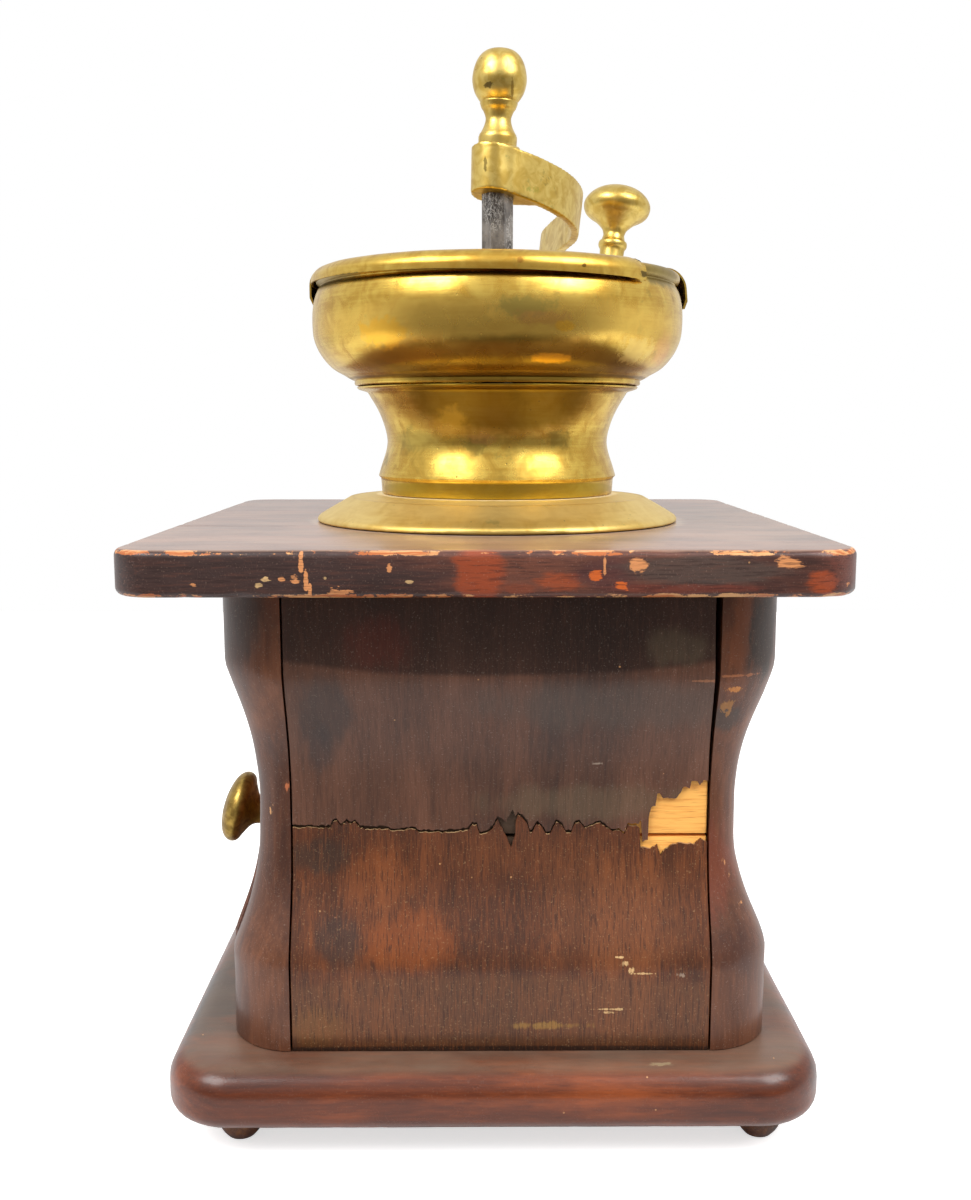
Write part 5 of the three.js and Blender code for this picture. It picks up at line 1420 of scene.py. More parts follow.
@dataclass
class BrokenVeneer:
    """The front veneer in its two broken sheets.

    The break's points are [across, up] from its mean line, in millimetres, as the CAD has them.
    """

    finishes: Finishes
    shape: CaseShape
    low: float
    high: float
    drop: float = 71.7
    gap: float = 0.5
    gape: float = 0.75
    splinter: float = 0.7
    roughness: float = 0.3
    lift_reach: float = 5.0
    break_line: tuple[Point, ...] = (
        (-49.9, 0.1), (-49.1, 1.9), (-48, 2.1), (-46.7, 0.5), (-45.2, 2.1), (-43.9, 1.1), (-42.6, 1.9),
        (-41.1, -0.1), (-33.5, -0.3), (-31.7, -1), (-24.9, -0.5), (-23.8, -1.3), (-15.6, -1.3),
        (-9.6, -0.7), (-8.3, 1), (-6.9, 0.9), (-6.1, -1.9), (-4.3, -1.7), (-2.2, -0.1), (-0.9, 2.8),
        (1.9, 1), (2.1, 2.2), (3.7, 4.7), (4.4, 2.8), (5.2, 4), (6.4, 3.3), (7.9, 1.6), (8.7, -1.3),
        (9.3, -1.3), (10.7, 1.3),
        (12.2, 0.3), (13.4, -1.9), (14.6, -1.9), (16.4, 1.7), (18.3, 0.6), (19.4, -1.6), (20.9, -1.7),
        (21.7, 0.9), (23.3, 1.7), (24.8, -0.4), (26.4, 0.3), (29.5, 1.4), (31.2, 0), (33.2, -1.2),
        (34.9, -0.9), (36.6, -2.1), (37.6, 0.7), (40.7, 0.2),
    )
    notch: tuple[Point, ...] = ((1.7, -2.3), (3.2, -5.7), (4.4, -2.3), (4.6, 2.4))
    patch_above: tuple[Point, ...] = (
        (41.5, 1.4), (42, -5.2), (43.5, -4.6), (43.7, 2.6), (44.4, 5.4), (45.6, 5.7), (46.1, 9.5),
        (46.7, 9.6), (47.8, 8), (51.7, 8), (52.7, 9.5), (53.7, 11.5), (55.6, 11), (56.1, 13.4),
        (57.8, 13.3), (58.6, 12), (59.6, 13.6),
    )
    patch_below: tuple[Point, ...] = (
        (41, -0.3), (41.4, -6), (44.4, -6.8), (46.3, -5.5), (47.3, -8.8), (48.8, -6.8), (50.8, -5.5),
        (53.2, -5), (56.9, -5.5), (59.1, -3.7),
    )
    side_heights: Triple = (0.3, 13.3, -5.5)

    def ragged(self, points: Sequence[Point], seed: int) -> list[Point]:
        """Adds fine splinters along an edge.

        Args:
            points: The edge's points.
            seed: The seed of the splinters.

        Returns:
            The finer edge.
        """
        chance = random.Random(seed)
        fine = [points[0]]
        for start, end in zip(points, points[1:]):
            steps = max(1, round(math.dist(start, end) / self.splinter))
            for step in range(1, steps + 1):
                share = step / steps
                stray = chance.uniform(-self.roughness, self.roughness) if step < steps else 0.0
                fine.append((start[0] + (end[0] - start[0]) * share,
                             start[1] + (end[1] - start[1]) * share + stray))
        return fine

    def sheet(self, name: str, outline: Sequence[Point], material: Material, node: str,
              lift: float) -> None:
        """Cuts a sheet of veneer to an outline and lifts it a little along the break.

        Args:
            name: The piece's name.
            outline: The sheet's outline across the wall.
            material: Its finish.
            node: The CAD node it stands for.
            lift: How far its broken edge has lifted, in millimetres.
        """
        shape = self.shape
        draft = wall(shape, self.low, self.high, shape.back, shape.face, shape.half_width, 60, 0.2)
        whole = draft.moved(side_matrix(Wall.FRONT)).piece(name, material)
        reach = shape.half + 4
        front = [(AXIS.x + x, AXIS.y - reach, z) for x, z in outline]
        back = [(AXIS.x + x, AXIS.y - shape.inner, z) for x, z in outline]
        cutter = loft([front, back]).piece("cutter", material)
        combined(whole, cutter, "INTERSECT")
        line = (CASE_TOP - self.drop) * MM
        for vertex in whole.data.vertices:
            near = math.exp(-((vertex.co.z - line) / (self.lift_reach * MM)) ** 2)
            wave = swell(vertex.co / MM, 9.0, lift * 10)
            vertex.co.y -= near * max(wave + 0.25, 0.0) * lift * MM
            vertex.co = Case.shrunk(vertex.co / MM) * MM
        seat(smoothed(whole, 30), Body.MILL, Slot.VENEER, node)

    def opened(self, across: float) -> float:
        """How much further the break gapes at a place across the wall, in millimetres."""
        wave = swell(Vector((across, 0, 0)), 7.0, 21.0) * 0.5 + 0.5
        return self.gape * wave if across < self.patch_above[0][0] else 0.0

    def build(self) -> None:
        """Builds both sheets."""
        line = CASE_TOP - self.drop
        side = self.shape.post_side + 1
        left, patch_top, patch_foot = self.side_heights
        start = next(i for i, point in enumerate(self.break_line) if point[0] > self.notch[0][0])
        end = next(i for i, point in enumerate(self.break_line) if point[0] > self.notch[-1][0])
        notched = [*self.break_line[:start], *self.notch, *self.break_line[end:]]
        above = [(-side, left), *self.break_line, *self.patch_above, (side, patch_top)]
        below = [(-side, left), *notched, *self.patch_below, (side, patch_foot)]
        upper = [(x, line + z) for x, z in self.ragged(above, 11)] + [(side, CASE_TOP), (-side, CASE_TOP)]
        lower = [(x, line + z - self.gap - self.opened(x)) for x, z in self.ragged(below, 12)]
        lower += [(side, BASE_TOP), (-side, BASE_TOP)]
        finishes = self.finishes
        self.sheet("front_veneer_above_break", upper, finishes.veneer_upper, "front_veneer_upper", 0.5)
        self.sheet("front_veneer_below_break", lower, finishes.veneer_lower, "front_veneer_lower", 0.25)


@dataclass(frozen=True)
class BoardShape:
    """A board with rounded corners and a rounded edge, in millimetres."""

    node: str
    corner: float
    above: float
    below: float
    chip: float
    wear: float
    corner_steps: int = 10
    side_steps: int = 80
    worn_reach: float = 8.0
    arris: float = 3.0
    chip_size: float = 4.2
    chip_start: float = 0.12
    wear_size: float = 34.0

    def outline(self, inset: float) -> list[Point]:
        """The board's plan at an inset, with close points along its sides."""
        low, high = frame_box(self.node)
        x0, y0, x1, y1 = low.x + inset, low.y + inset, high.x - inset, high.y - inset
        radius = max(self.corner - inset, 0.5)
        plan: list[Point] = []
        centres = ((x1 - radius, y0 + radius, -90), (x1 - radius, y1 - radius, 0),
                   (x0 + radius, y1 - radius, 90), (x0 + radius, y0 + radius, 180))
        for place, (x, y, start) in enumerate(centres):
            bend = arc((x, y), radius, start, start + 90, self.corner_steps)
            next_x, next_y, following = centres[(place + 1) % 4]
            ahead = arc((next_x, next_y), radius, following, following + 90, self.corner_steps)[0]
            plan += bend
            shares = [step / self.side_steps for step in range(1, self.side_steps)]
            plan += [tuple(Vector(bend[-1]).lerp(Vector(ahead), share)) for share in shares]
        return plan

    def draft(self) -> Draft:
        """The board's mesh, with its edge worn."""
        low, high = frame_box(self.node)
        thick = high.z - low.z
        foot = arc((self.below, self.below), self.below, 270, 180, 6)
        head = arc((self.above, thick - self.above), self.above, 180, 90, 6)
        between = (thick - self.above - self.below) / 4
        sides = [(0.0, self.below + between * step) for step in (1, 2, 3)] if between > 0.4 else []
        rings = []
        flat = max(self.above, self.below) + 2.5
        section = [(flat, 0.0)] + foot + sides + head + [(flat, thick)]
        for inset, height in section:
            rings.append([(x, y, low.z + height) for x, y in self.outline(inset)])
        return loft(rings).bent(self.worn)

    def worn(self, point: Vector) -> Vector:
        """Wears the board's arrises and makes its edge slightly uneven."""
        low, high = frame_box(self.node)
        middle = (low + high) / 2
        inward = Vector((0, 0, 0))
        edge_x = (high.x - low.x) / 2 - abs(point.x - middle.x)
        edge_y = (high.y - low.y) / 2 - abs(point.y - middle.y)
        if min(edge_x, edge_y) > self.worn_reach:
            return point
        if edge_x < edge_y:
            inward.x = -math.copysign(1, point.x - middle.x)
        else:
            inward.y = -math.copysign(1, point.y - middle.y)
        at_arris = 1 - min(min(point.z - low.z, high.z - point.z) / self.arris, 1.0)
        chipped = max(swell(point, self.chip_size, 3.0) - self.chip_start, 0) * self.chip * at_arris
        waved = (swell(point, self.wear_size, 5.0) * 0.5 + 0.5) * self.wear
        return point + inward * (chipped + waved)


@dataclass
class Boards:
    """The top board, the base board and the turned feet."""

    finishes: Finishes
    top: BoardShape = BoardShape("top_board", 12, 2, 2, 1.3, 0.35)
    base: BoardShape = BoardShape("base_board", 20, 8, 5, 0.3, 0.3)
    split_start: float = -101.0
    split_end: float = -53.0
    split_y: float = -40.9
    split_width: float = 0.55
    split_depth: float = 2.4
    split_steps: int = 24
    split_waves: tuple[Point, ...] = ((0.35, 9), (0.2, 31))
    flange: float = 11.2
    throat_most: float = 33.8

    def build(self) -> None:
        """Builds the boards and the feet."""
        top = self.top.draft().piece("worn_top_board", self.finishes.top_board, 36)
        combined(top, self.split_tool(), "DIFFERENCE")
        combined(top, self.throat_tool(), "DIFFERENCE")
        seat(smoothed(top, 36), Body.MILL, Slot.BOARDS, "top_board")
        base = self.base.draft().piece("worn_base_board", self.finishes.base_board, 36)
        seat(base, Body.MILL, Slot.BOARDS, "base_board")
        self.feet()

    def split_tool(self) -> Piece:
        """The wedge that cuts the crack in the top board, wider towards the board's end."""
        rings = []
        for step in range(self.split_steps + 1):
            share = step / self.split_steps
            x = self.split_start + (self.split_end - self.split_start) * share
            y = self.split_y
            for size, pace in self.split_waves:
                y += size * math.sin(share * pace)
            half = self.split_width * (1.25 - share) * 0.6 + 0.05
            deep = DECK - self.split_depth * (1.15 - share)
            rings.append([(x, y - half, DECK + 1), (x, y, deep), (x, y + half, DECK + 1)])
        return loft(rings).piece("split", self.finishes.top_board)

    def throat_tool(self) -> Piece:
        """The cylinder that cuts the hole for the burr housing."""
        low, high = frame_box("burr_housing")
        radius = min((high.x - low.x) / 2 - self.flange, self.throat_most)
        tool = spin([(0, CASE_TOP - 2), (radius, CASE_TOP - 2), (radius, DECK + 2), (0, DECK + 2)], 96)
        return tool.moved(shift(AXIS.x, AXIS.y)).piece("throat", self.finishes.top_board)

    def feet(self) -> None:
        """The four turned feet."""
        for corner in CORNERS:
            node = "foot_" + corner
            low, high = frame_box(node)
            radius = (high.x - low.x) / 2
            outline = [(0, 0), (4, 0), (radius * 0.8, 2.1), (radius * 0.95, 4.4), (radius, 6.6),
                       (radius * 0.96, 8.3), (6, 9.7), (4.2, 9.7), (4.2, high.z), (0, high.z)]
            centre = (low + high) / 2
            turned = spin(flowing(outline, 0.8, 50), 48).moved(shift(centre.x, centre.y))
            seat(turned.piece("visual_" + node, self.finishes.foot_wood), Body.MILL, Slot.FEET, node)


# Drawer

@dataclass
class Drawer:
    """The drawer in the left side, with its brass knob."""

    finishes: Finishes
    case: CaseShape = field(default_factory=CaseShape)
    lift: float = 3.0
    knob_radius: float = 12.4
    knob_length: float = 22.0
    knob_stem: float = 4.6
    knob_height: float = 44.4
    knob_tilt: float = 16.0

    def build(self) -> None:
        """Builds the drawer."""
        self.front()
        self.knob()
        for part in ("floor", "side_front", "side_back", "end", "runner_front", "runner_back"):
            dress("drawer_" + part, self.finishes.pine, 0.4)
        dress("drawer_knob_screw", self.finishes.steel, 0.2)

    def outside(self, height: float) -> float:
        """How far off the axis the drawer's front lies at a height."""
        return self.case.left_face(height - self.lift)

    def front(self) -> None:
        """The drawer's front board."""
        low, high = frame_box("drawer_front")
        half = (high.y - low.y) / 2
        draft = wall(self.case, low.z, high.z, lambda height: self.case.inner, self.outside, half, 24, 0.8)
        board = draft.moved(side_matrix(Wall.LEFT)).piece("visual_drawer_front", self.finishes.drawer_wood)
        seat(board, Body.DRAWER, Slot.BOARDS, "drawer_front")

    def knob(self) -> None:
        """The turned knob, which sits square on the hollowed front."""
        stem, radius, length = self.knob_stem, self.knob_radius, self.knob_length
        cap = length * 0.66
        outline = [
            (0, 0), (stem + 0.8, 0), (stem + 1.1, 1.4), (stem, 3), (stem * 0.86, 6.5), (stem * 1.1, 9.6),
            (radius * 0.7, cap * 0.82), (radius * 0.93, cap * 0.92), (radius, cap * 1.05),
            (radius * 0.95, cap * 1.19), (radius * 0.77, length - 2.9), (radius * 0.4, length - 1.5),
            (0, length - 1.1),
        ]
        height = BASE_TOP + self.knob_height
        foot = shift(AXIS.x - self.outside(height), AXIS.y, height)
        tilt = Matrix.Rotation(math.radians(self.knob_tilt - 90), 4, "Y")
        draft = spin(flowing(outline, 0.7, 46), 96).moved(foot @ tilt)
        seat(draft.piece("turned_drawer_knob", self.finishes.knob), Body.DRAWER, Slot.BRASS, "drawer_knob")


# Brass

@dataclass
class Hopper:
    """The brass skirt, neck and bowl, as [radius, height above the top board] outlines."""

    finishes: Finishes
    segments: int = 224
    dent_size: float = 19.0
    skirt: tuple[Point, ...] = (
        (28.5, 7.9), (47.6, 7.2), (58.5, 1.4), (59.2, 0.3), (60.4, 0.3), (60.6, 1), (59.8, 2.1),
        (50.2, 7.75), (49.7, 8.05), (49.1, 8.1), (48.7, 8), (40.2, 8.95), (28.5, 9),
    )
    neck: tuple[Point, ...] = (
        (38.9, 9.2), (39.2, 13.8), (39.3, 14.5), (40, 15), (39.9, 15.5), (39, 18.5), (37.4, 23.5),
        (37, 27), (38, 31.8), (40, 36.8), (43.4, 42.6), (46.4, 43.5), (46.9, 44), (46.8, 44.4),
        (43.5, 44.4), (42.5, 42.9), (39, 36.8), (36.1, 27), (36.8, 20.5), (37.6, 15), (37.2, 10.1),
        (28.5, 10.1), (28.5, 9.2),
    )
    bowl_outside: tuple[Point, ...] = (
        (43.5, 44.7), (46.9, 44.7), (47.5, 44.9), (47.7, 45.4), (47.6, 46.3), (47.5, 46.8), (48.3, 47),
        (51.4, 48.3), (55.1, 50.6), (58.6, 54.8), (60.6, 59.4), (61.1, 64), (61, 68.5), (60.5, 71.6),
        (59.8, 74), (58.9, 75.7), (58.3, 76.4),
    )
    rim_centre: Point = (58.15, 78.5)
    rim_round: float = 1.8
    bowl_inside: tuple[Point, ...] = (
        (56.35, 74.6), (58.7, 71.2), (60.2, 67), (60.1, 60.6), (57.7, 54.8), (54.1, 50.6), (48.4, 46.6),
        (43.5, 45.6),
    )

    def spun(self, name: str, outline: Sequence[Point], material: Material, node: str,
             dent: float, corner: float = 38.0) -> None:
        """Spins one piece and gives it a hand's dents.

        Args:
            name: The piece's name.
            outline: Its closed outline.
            material: Its finish.
            node: The CAD node it stands for.
            dent: How deep its dents are, in millimetres.
            corner: A turn of more degrees than this stays a crease.
        """
        def dented(point: Vector) -> Vector:
            """Moves a point in or out by smooth noise."""
            flat = Vector((point.x, point.y, 0))
            away = flat.normalized() if flat.length > 1 else Vector((0, 0, 0))
            return point - away * dent * (swell(point, self.dent_size, 2.0) * 0.5 + 0.5)

        draft = spin(flowing(outline, 0.9, corner, 0.25, True), self.segments).bent(dented)
        piece = draft.moved(shift(AXIS.x, AXIS.y, DECK)).piece(name, material, 26)
        seat(piece, Body.MILL, Slot.BRASS, node)

    def build(self) -> None:
        """Builds the skirt, the neck and the bowl."""
        rim = arc(self.rim_centre, self.rim_round, -50, 180, 16)
        bowl = [*self.bowl_outside, *rim, *self.bowl_inside]
        self.spun("spun_skirt", self.skirt, self.finishes.skirt, "hopper_skirt", 0.15, 24)
        self.spun("spun_neck", self.neck, self.finishes.neck, "hopper_neck", 0.2, 24)
        self.spun("spun_bowl", bowl, self.finishes.spun, "hopper_bowl", 0.25)


@dataclass(frozen=True)
class LidSection:
    """The section of a lid half: a plate, a round edge and a skirt."""

    radius: float
    top: float
    round: float
    skirt: float
    lip: float = 0.0
    metal: float = 0.6
    steps: int = 16

    def outline(self, inner: float) -> list[Point]:
        """The closed section from an inner radius out."""
        metal, lip = self.metal, self.lip
        centre = (self.radius - self.round, self.top - self.round)
        reach = centre[0] - inner
        steps = self.steps
        under = [(inner + reach * step / steps, self.top - metal) for step in range(steps)]
        over = [(centre[0] - reach * (step + 1) / steps, self.top) for step in range(steps)]
        lipped = [(self.radius - metal, self.skirt + 3)] if lip else []
        lipped_out = [(self.radius, self.skirt + 2.4)] if lip else []
        foot = [(self.radius - metal - lip, self.skirt), (self.radius - lip, self.skirt)]
        return [*under, *arc(centre, self.round - metal, 90, 0, 8), *lipped, *foot, *lipped_out,
                *arc(centre, self.round, 0, 90, 10), *over]


@dataclass
class Lid:
    """The lid's fixed rear half and its turning front half."""

    finishes: Finishes
    fixed: LidSection = LidSection(62.3, 83.7, 6.2, 71.2, 1.1)
    turning: LidSection = LidSection(61.3, 82.0, 4.5, 75.7)
    notch: float = 7.02
    hole: float = 6.32
    eye: float = 12.0
    rest_turn: float = -43.0
    hem_round: float = 1.3
    hem_start: float = 9.0
    hem_end: float = 50.5
    hem_steps: int = 40
    segments: int = 128
    flare_turn: float = 34.0
    flare_start: float = 40.0
    flare_width: float = 22.0
    flare: float = 0.02
    sink: Point = (0.35, 0.9)
    sink_height: float = 12.0
    fixed_wave: float = 0.2
    turning_wave: float = 0.12
    wave_reach: float = 60.0
    droop_turn: Point = (70, 60)
    droop_out: Point = (30, 31)
    droop_most: float = 0.6
    lift_most: float = 1.5
    tear_turn: float = 9.0
    tear_start: float = 52.0
    tear_width: float = 9.0

    def build(self) -> None:
        """Builds both halves."""
        self.rear()
        self.front()

    def rear(self) -> None:
        """The fixed half, with a hem rolled along its straight edge."""
        draft = spin(self.fixed.outline(self.notch), self.segments, 0, 180)

        def battered(point: Vector) -> Vector:
            """Flares and lowers the right end of the edge, and dents the rest a little."""
            out = math.hypot(point.x, point.y)
            angle = math.degrees(math.atan2(point.y, point.x))
            bent = max(1 - abs(angle) / self.flare_turn, 0)
            bent *= max((out - self.flare_start) / self.flare_width, 0)
            low = max((self.fixed.top - point.z) / self.sink_height, 0)
            spread = 1 + bent * low * self.flare
            wave = swell(point, 13.0, 8.0) * self.fixed_wave
            fall = bent * (self.sink[0] + low * self.sink[1]) - wave * min(out / self.wave_reach, 1)
            return Vector((point.x * spread, point.y * spread, point.z - fall))

        draft.bent(battered).moved(shift(AXIS.x, AXIS.y, DECK))
        half = draft.piece("lid_rear_half", self.finishes.lid)
        for sign in (-1, 1):
            combined(half, self.hem(sign), "UNION")
        seat(smoothed(half, 36), Body.MILL, Slot.BRASS, "lid_fixed_half")

    def hem(self, sign: int) -> Piece:
        """One of the two rolled stretches along the straight edge."""
        rings = []
        for step in range(self.hem_steps + 1):
            share = step / self.hem_steps
            x = sign * (self.hem_start + (self.hem_end - self.hem_start) * share)
            wave = swell(Vector((x, 0, 0)), 9.0, 4.0) * 0.15
            grow = min(1.0, 0.55 + 4 * min(share, 1 - share))
            bead = arc((0.8, self.turning.top + 0.3 + self.hem_round), self.hem_round * grow, 0, 337.5, 15)
            rings.append([(x, y, z + wave) for y, z in bead])
        draft = loft(rings).moved(shift(AXIS.x, AXIS.y, DECK))
        return draft.piece("hem", self.finishes.lid)

    def front(self) -> None:
        """The turning half with the eye that holds it to the shaft."""
        draft = spin(self.turning.outline(self.hole), self.segments, 180, 180)

        def battered(point: Vector) -> Vector:
            """Lowers the edge on the right, tears its corner in and dents the rest a little."""
            out = math.hypot(point.x, point.y)
            angle = math.degrees(math.atan2(-point.y, point.x))
            turned = held((self.droop_turn[0] - angle) / self.droop_turn[1])
            droop = turned * max((out - self.droop_out[0]) / self.droop_out[1], 0) ** 1.5
            torn = max(1 - angle / self.tear_turn, 0) * max((out - self.tear_start) / self.tear_width, 0)
            wave = swell(point, 15.0, 6.0) * self.turning_wave * min(out / self.wave_reach, 1)
            plate = self.turning.top - 2
            below = max((plate - point.z) / (plate - self.turning.skirt), 0)
            lifted = below * held((angle - 10) / 125) * self.lift_most
            nick = torn * (swell(point, 1.6, 9.0) * 0.9 + 0.5)
            fall = droop * self.droop_most - lifted + nick
            return Vector((point.x * (1 - torn * 0.012), point.y - torn * 0.5, point.z - fall + wave))

        top, metal = self.turning.top, self.turning.metal
        ring = [(self.hole, top - metal), (self.eye, top - metal), (self.eye, top), (self.hole, top)]
        eye = spin(ring, 96).piece("eye", self.finishes.lid)
        half = draft.bent(battered).piece("lid_front_half", self.finishes.lid)
        combined(half, eye, "UNION")
        turn = Matrix.Rotation(math.radians(self.rest_turn), 4, "Z")
        half.data.transform(Matrix.Translation(Vector((AXIS.x, AXIS.y, DECK)) * MM) @ turn)
        seat(smoothed(half, 36), Body.LID, Slot.BRASS, "lid_turning_half")


@dataclass
class Crank:
    """The S-shaped crank, its turned nut and its grip.

    X runs from the shaft towards the grip and Y to its left, in the crank's own sloping plane.
    """

    finishes: Finishes
    height: float = 120.4
    seat_height: float = 121.2
    slope: float = 10.8
    roll: float = 2.6
    heading: float = 66.3
    length: float = 124.6
    bend: float = 37.4
    bend_centre: Point = (27.8, 19.6)
    web_turn: float = 26.0
    strap: float = 4.3
    depth: float = 14.8
    hub: float = 7.7
    fillet_turn: float = 34.0
    thinned: float = 1.6
    thinning_turn: float = 60.0
    upright: float = 0.85
    nut_lean: float = 1.8
    grip_radius: float = 13.95
    grip_height: float = 33.1
    bend_steps: int = 48
    fillet_steps: int = 16
    boss_share: float = 0.975
    upright_reach: float = 24.0
    upright_fade: float = 15.0
    swelling: float = 0.12
    voxel: float = 0.4

    @property
    def place(self) -> Matrix:
        """The crank's plane in the frame."""
        turns = [Matrix.Rotation(math.radians(angle), 4, axis)
                 for angle, axis in ((self.heading, "Z"), (self.slope, "Y"), (self.roll, "X"))]
        return shift(AXIS.x, AXIS.y, DECK + self.height) @ turns[0] @ turns[1] @ turns[2]

    def other_end(self, point: Point) -> Point:
        """The same point seen from the crank's other end."""
        return self.length - point[0], -point[1]

    def bend_angles(self) -> tuple[float, float]:
        """The angles where a bend starts at its hub and ends at the straight, in degrees."""
        x, y = self.bend_centre
        to_middle = (self.length / 2 - x, -y)
        towards = math.degrees(math.atan2(to_middle[1], to_middle[0]))
        leave = towards - math.degrees(math.acos(self.bend / math.hypot(*to_middle)))
        return math.degrees(math.atan2(-y, -x)) - 2, leave

    def outside(self, angle: float) -> float:
        """How far the strap's outer face lies from the bend's middle line at an angle."""
        share = min((angle - self.bend_angles()[0]) / self.thinning_turn, 1.0)
        return self.strap / 2 - self.thinned * (1 - (1 - share) ** 2)

    def strap_sides(self) -> tuple[list[Point], list[Point]]:
        """Both sides of the strap from hub to boss. Each bend is thinned on its outside."""
        start, leave = self.bend_angles()
        outer = []
        for step in range(self.bend_steps + 1):
            angle = start + (leave - start) * step / self.bend_steps
            outer += arc(self.bend_centre, self.bend + self.outside(angle), angle, angle, 1)[:1]
        inner = arc(self.bend_centre, self.bend - self.strap / 2, start, leave, self.bend_steps)
        far_inner = [self.other_end(point) for point in reversed(inner)]
        far_outer = [self.other_end(point) for point in reversed(outer)]
        return outer + far_inner, inner + far_outer

    def web(self) -> list[Point]:
        """The web that widens the strap into its hub."""
        start, _ = self.bend_angles()
        end = start + self.web_turn
        inner = arc(self.bend_centre, self.bend - self.strap / 2, end, end, 1)[0]
        return [(0, 0), (self.hub - 0.1, 0.6), inner, *arc(self.bend_centre, self.bend, end, start + 20, 3)]

    def fillet(self) -> list[Point]:
        """The fillet outside the bend, where the hub runs out into the strap."""
        x, y = self.bend_centre
        proud = math.hypot(x, y) + self.hub - self.bend - self.strap / 2
        at_hub = self.bend_angles()[0] + 2
        outside = []
        for step in range(self.fillet_steps + 1):
            angle = at_hub + self.fillet_turn * step / self.fillet_steps
            rise = proud * (1 - step / self.fillet_steps) ** 2
            reach = self.bend + self.outside(angle) + rise - 0.05
            outside.append(arc(self.bend_centre, reach, angle, angle, 1)[0])
        back = arc(self.bend_centre, self.bend, at_hub + self.fillet_turn, at_hub + 8, 5)
        return [(0, 0), *outside, *back]

    def block(self, outline: Sequence[Point]) -> Draft:
        """A plan outline as a block as deep as the strap."""
        return loft([[(x, y, -self.depth) for x, y in outline], [(x, y, 0.0) for x, y in outline]])

    def arm(self) -> None:
        """The arm, joined from its blocks and worn round at its edges."""
        whole = Draft()
        one_side, other_side = self.strap_sides()
        circle = arc((0, 0), self.hub, 0, 352.5, 47)
        boss = [self.other_end((x * self.boss_share, y * self.boss_share)) for x, y in circle]
        outlines = [one_side + list(reversed(other_side)), circle, boss,
                    self.web(), [self.other_end(point) for point in self.web()],
                    self.fillet(), [self.other_end(point) for point in self.fillet()]]
        for outline in outlines:
            block = self.block(outline)
            first = len(whole.points)
            whole.points += block.points
            whole.faces += [tuple(number + first for number in face) for face in block.faces]
        arm = whole.moved(self.place).piece("s_crank_arm", self.finishes.cast)
        cap = spin([(0, 0), (self.hub - 0.3, 0), (self.hub - 0.3, 8), (0, 8)], 48)
        cap = cap.moved(shift(AXIS.x, AXIS.y, DECK + self.seat_height - 8)).piece("cap", self.finishes.cast)
        self.stand_up(arm)
        arm = joined_objects(arm, cap)
        applied(arm, "REMESH", mode="VOXEL", voxel_size=self.voxel * MM)
        applied(arm, "SMOOTH", factor=0.5, iterations=4)
        self.flatten(arm)
        seat(smoothed(arm, 50), Body.SHAFT, Slot.BRASS, "crank_arm")

    def stand_up(self, arm: Piece) -> None:
        """Turns the hub upright by sliding its slices sideways, less and less along the strap."""
        lean = self.place.to_3x3() @ Vector((0, 0, 1))
        middle = Vector((AXIS.x, AXIS.y, DECK + self.height - self.depth / 2)) * MM
        for vertex in arm.data.vertices:
            away = vertex.co - middle
            reach = math.hypot(away.x, away.y) / MM
            share = held((self.upright_reach - reach) / self.upright_fade)
            share = share * share * (3 - 2 * share) * self.upright
            vertex.co.x -= lean.x / lean.z * away.z * share
            vertex.co.y -= lean.y / lean.z * away.z * share

    def flatten(self, arm: Piece) -> None:
        """Levels the top of the hub where the nut sits, and lets the strap swell slightly."""
        flat = (DECK + self.seat_height) * MM
        centre = AXIS * MM
        outward = [vertex.normal.copy() for vertex in arm.data.vertices]
        for vertex, away in zip(arm.data.vertices, outward):
            near = math.hypot(vertex.co.x - centre.x, vertex.co.y - centre.y) < (self.hub + 1) * MM
            if near:
                vertex.co.z = min(vertex.co.z, flat)
            vertex.co += away * self.swelling * MM * swell(vertex.co / MM, 8.0, 1.0)

    def grip(self) -> None:
        """The mushroom grip."""
        radius, height = self.grip_radius, self.grip_height
        outline = [
            (0, 0), (5, 0), (5.1, height * 0.18), (5.3, height * 0.215), (5.85, height * 0.24),
            (6, height * 0.27), (5.8, height * 0.3), (5, height * 0.32), (4.7, height * 0.35),
            (4.4, height * 0.39), (4.7, height * 0.43), (radius * 0.38, height * 0.47),
            (radius * 0.6, height * 0.56), (radius * 0.91, height * 0.65), (radius, height * 0.74),
            (radius * 0.96, height * 0.82), (radius * 0.78, height * 0.91),
            (radius * 0.53, height * 0.97), (radius * 0.25, height * 0.995), (0, height),
        ]
        place = self.place @ shift(self.length, 0, 0.3)
        draft = spin(flowing(outline, 0.6, 60), 112).moved(place)
        seat(draft.piece("mushroom_grip", self.finishes.cast), Body.GRIP, Slot.BRASS, "grip_knob")
        dress("grip_pin", self.finishes.steel, 0.2)

    def nut(self) -> None:
        """The turned nut on top of the shaft."""
        outline = [
            (0, 0), (6.2, 0), (6.3, 3.1), (6.0, 3.6), (6.1, 3.75), (5.75, 4.2), (4.7, 6.3), (4.15, 8.4),
            (4.3, 9.6), (5.1, 11.5), (5.4, 11.8), (5.6, 12.1), (6.2, 13.7), (5.95, 14.1), (6.25, 14.3),
            (7.1, 15.4), (8.1, 17.2), (8.8, 20), (8.8, 22), (8.2, 24.9), (7, 27.5), (5.2, 29.3),
            (3.2, 30.1), (0, 30.4),
        ]
        foot = shift(AXIS.x, AXIS.y, frame_box("finial_nut")[0].z)
        lean = Matrix.Rotation(math.radians(self.nut_lean), 4, "Y")
        draft = spin(flowing(outline, 0.6, 34, 0.12), 112).moved(foot @ lean)
        seat(draft.piece("turned_nut", self.finishes.cast), Body.SHAFT, Slot.BRASS, "finial_nut")

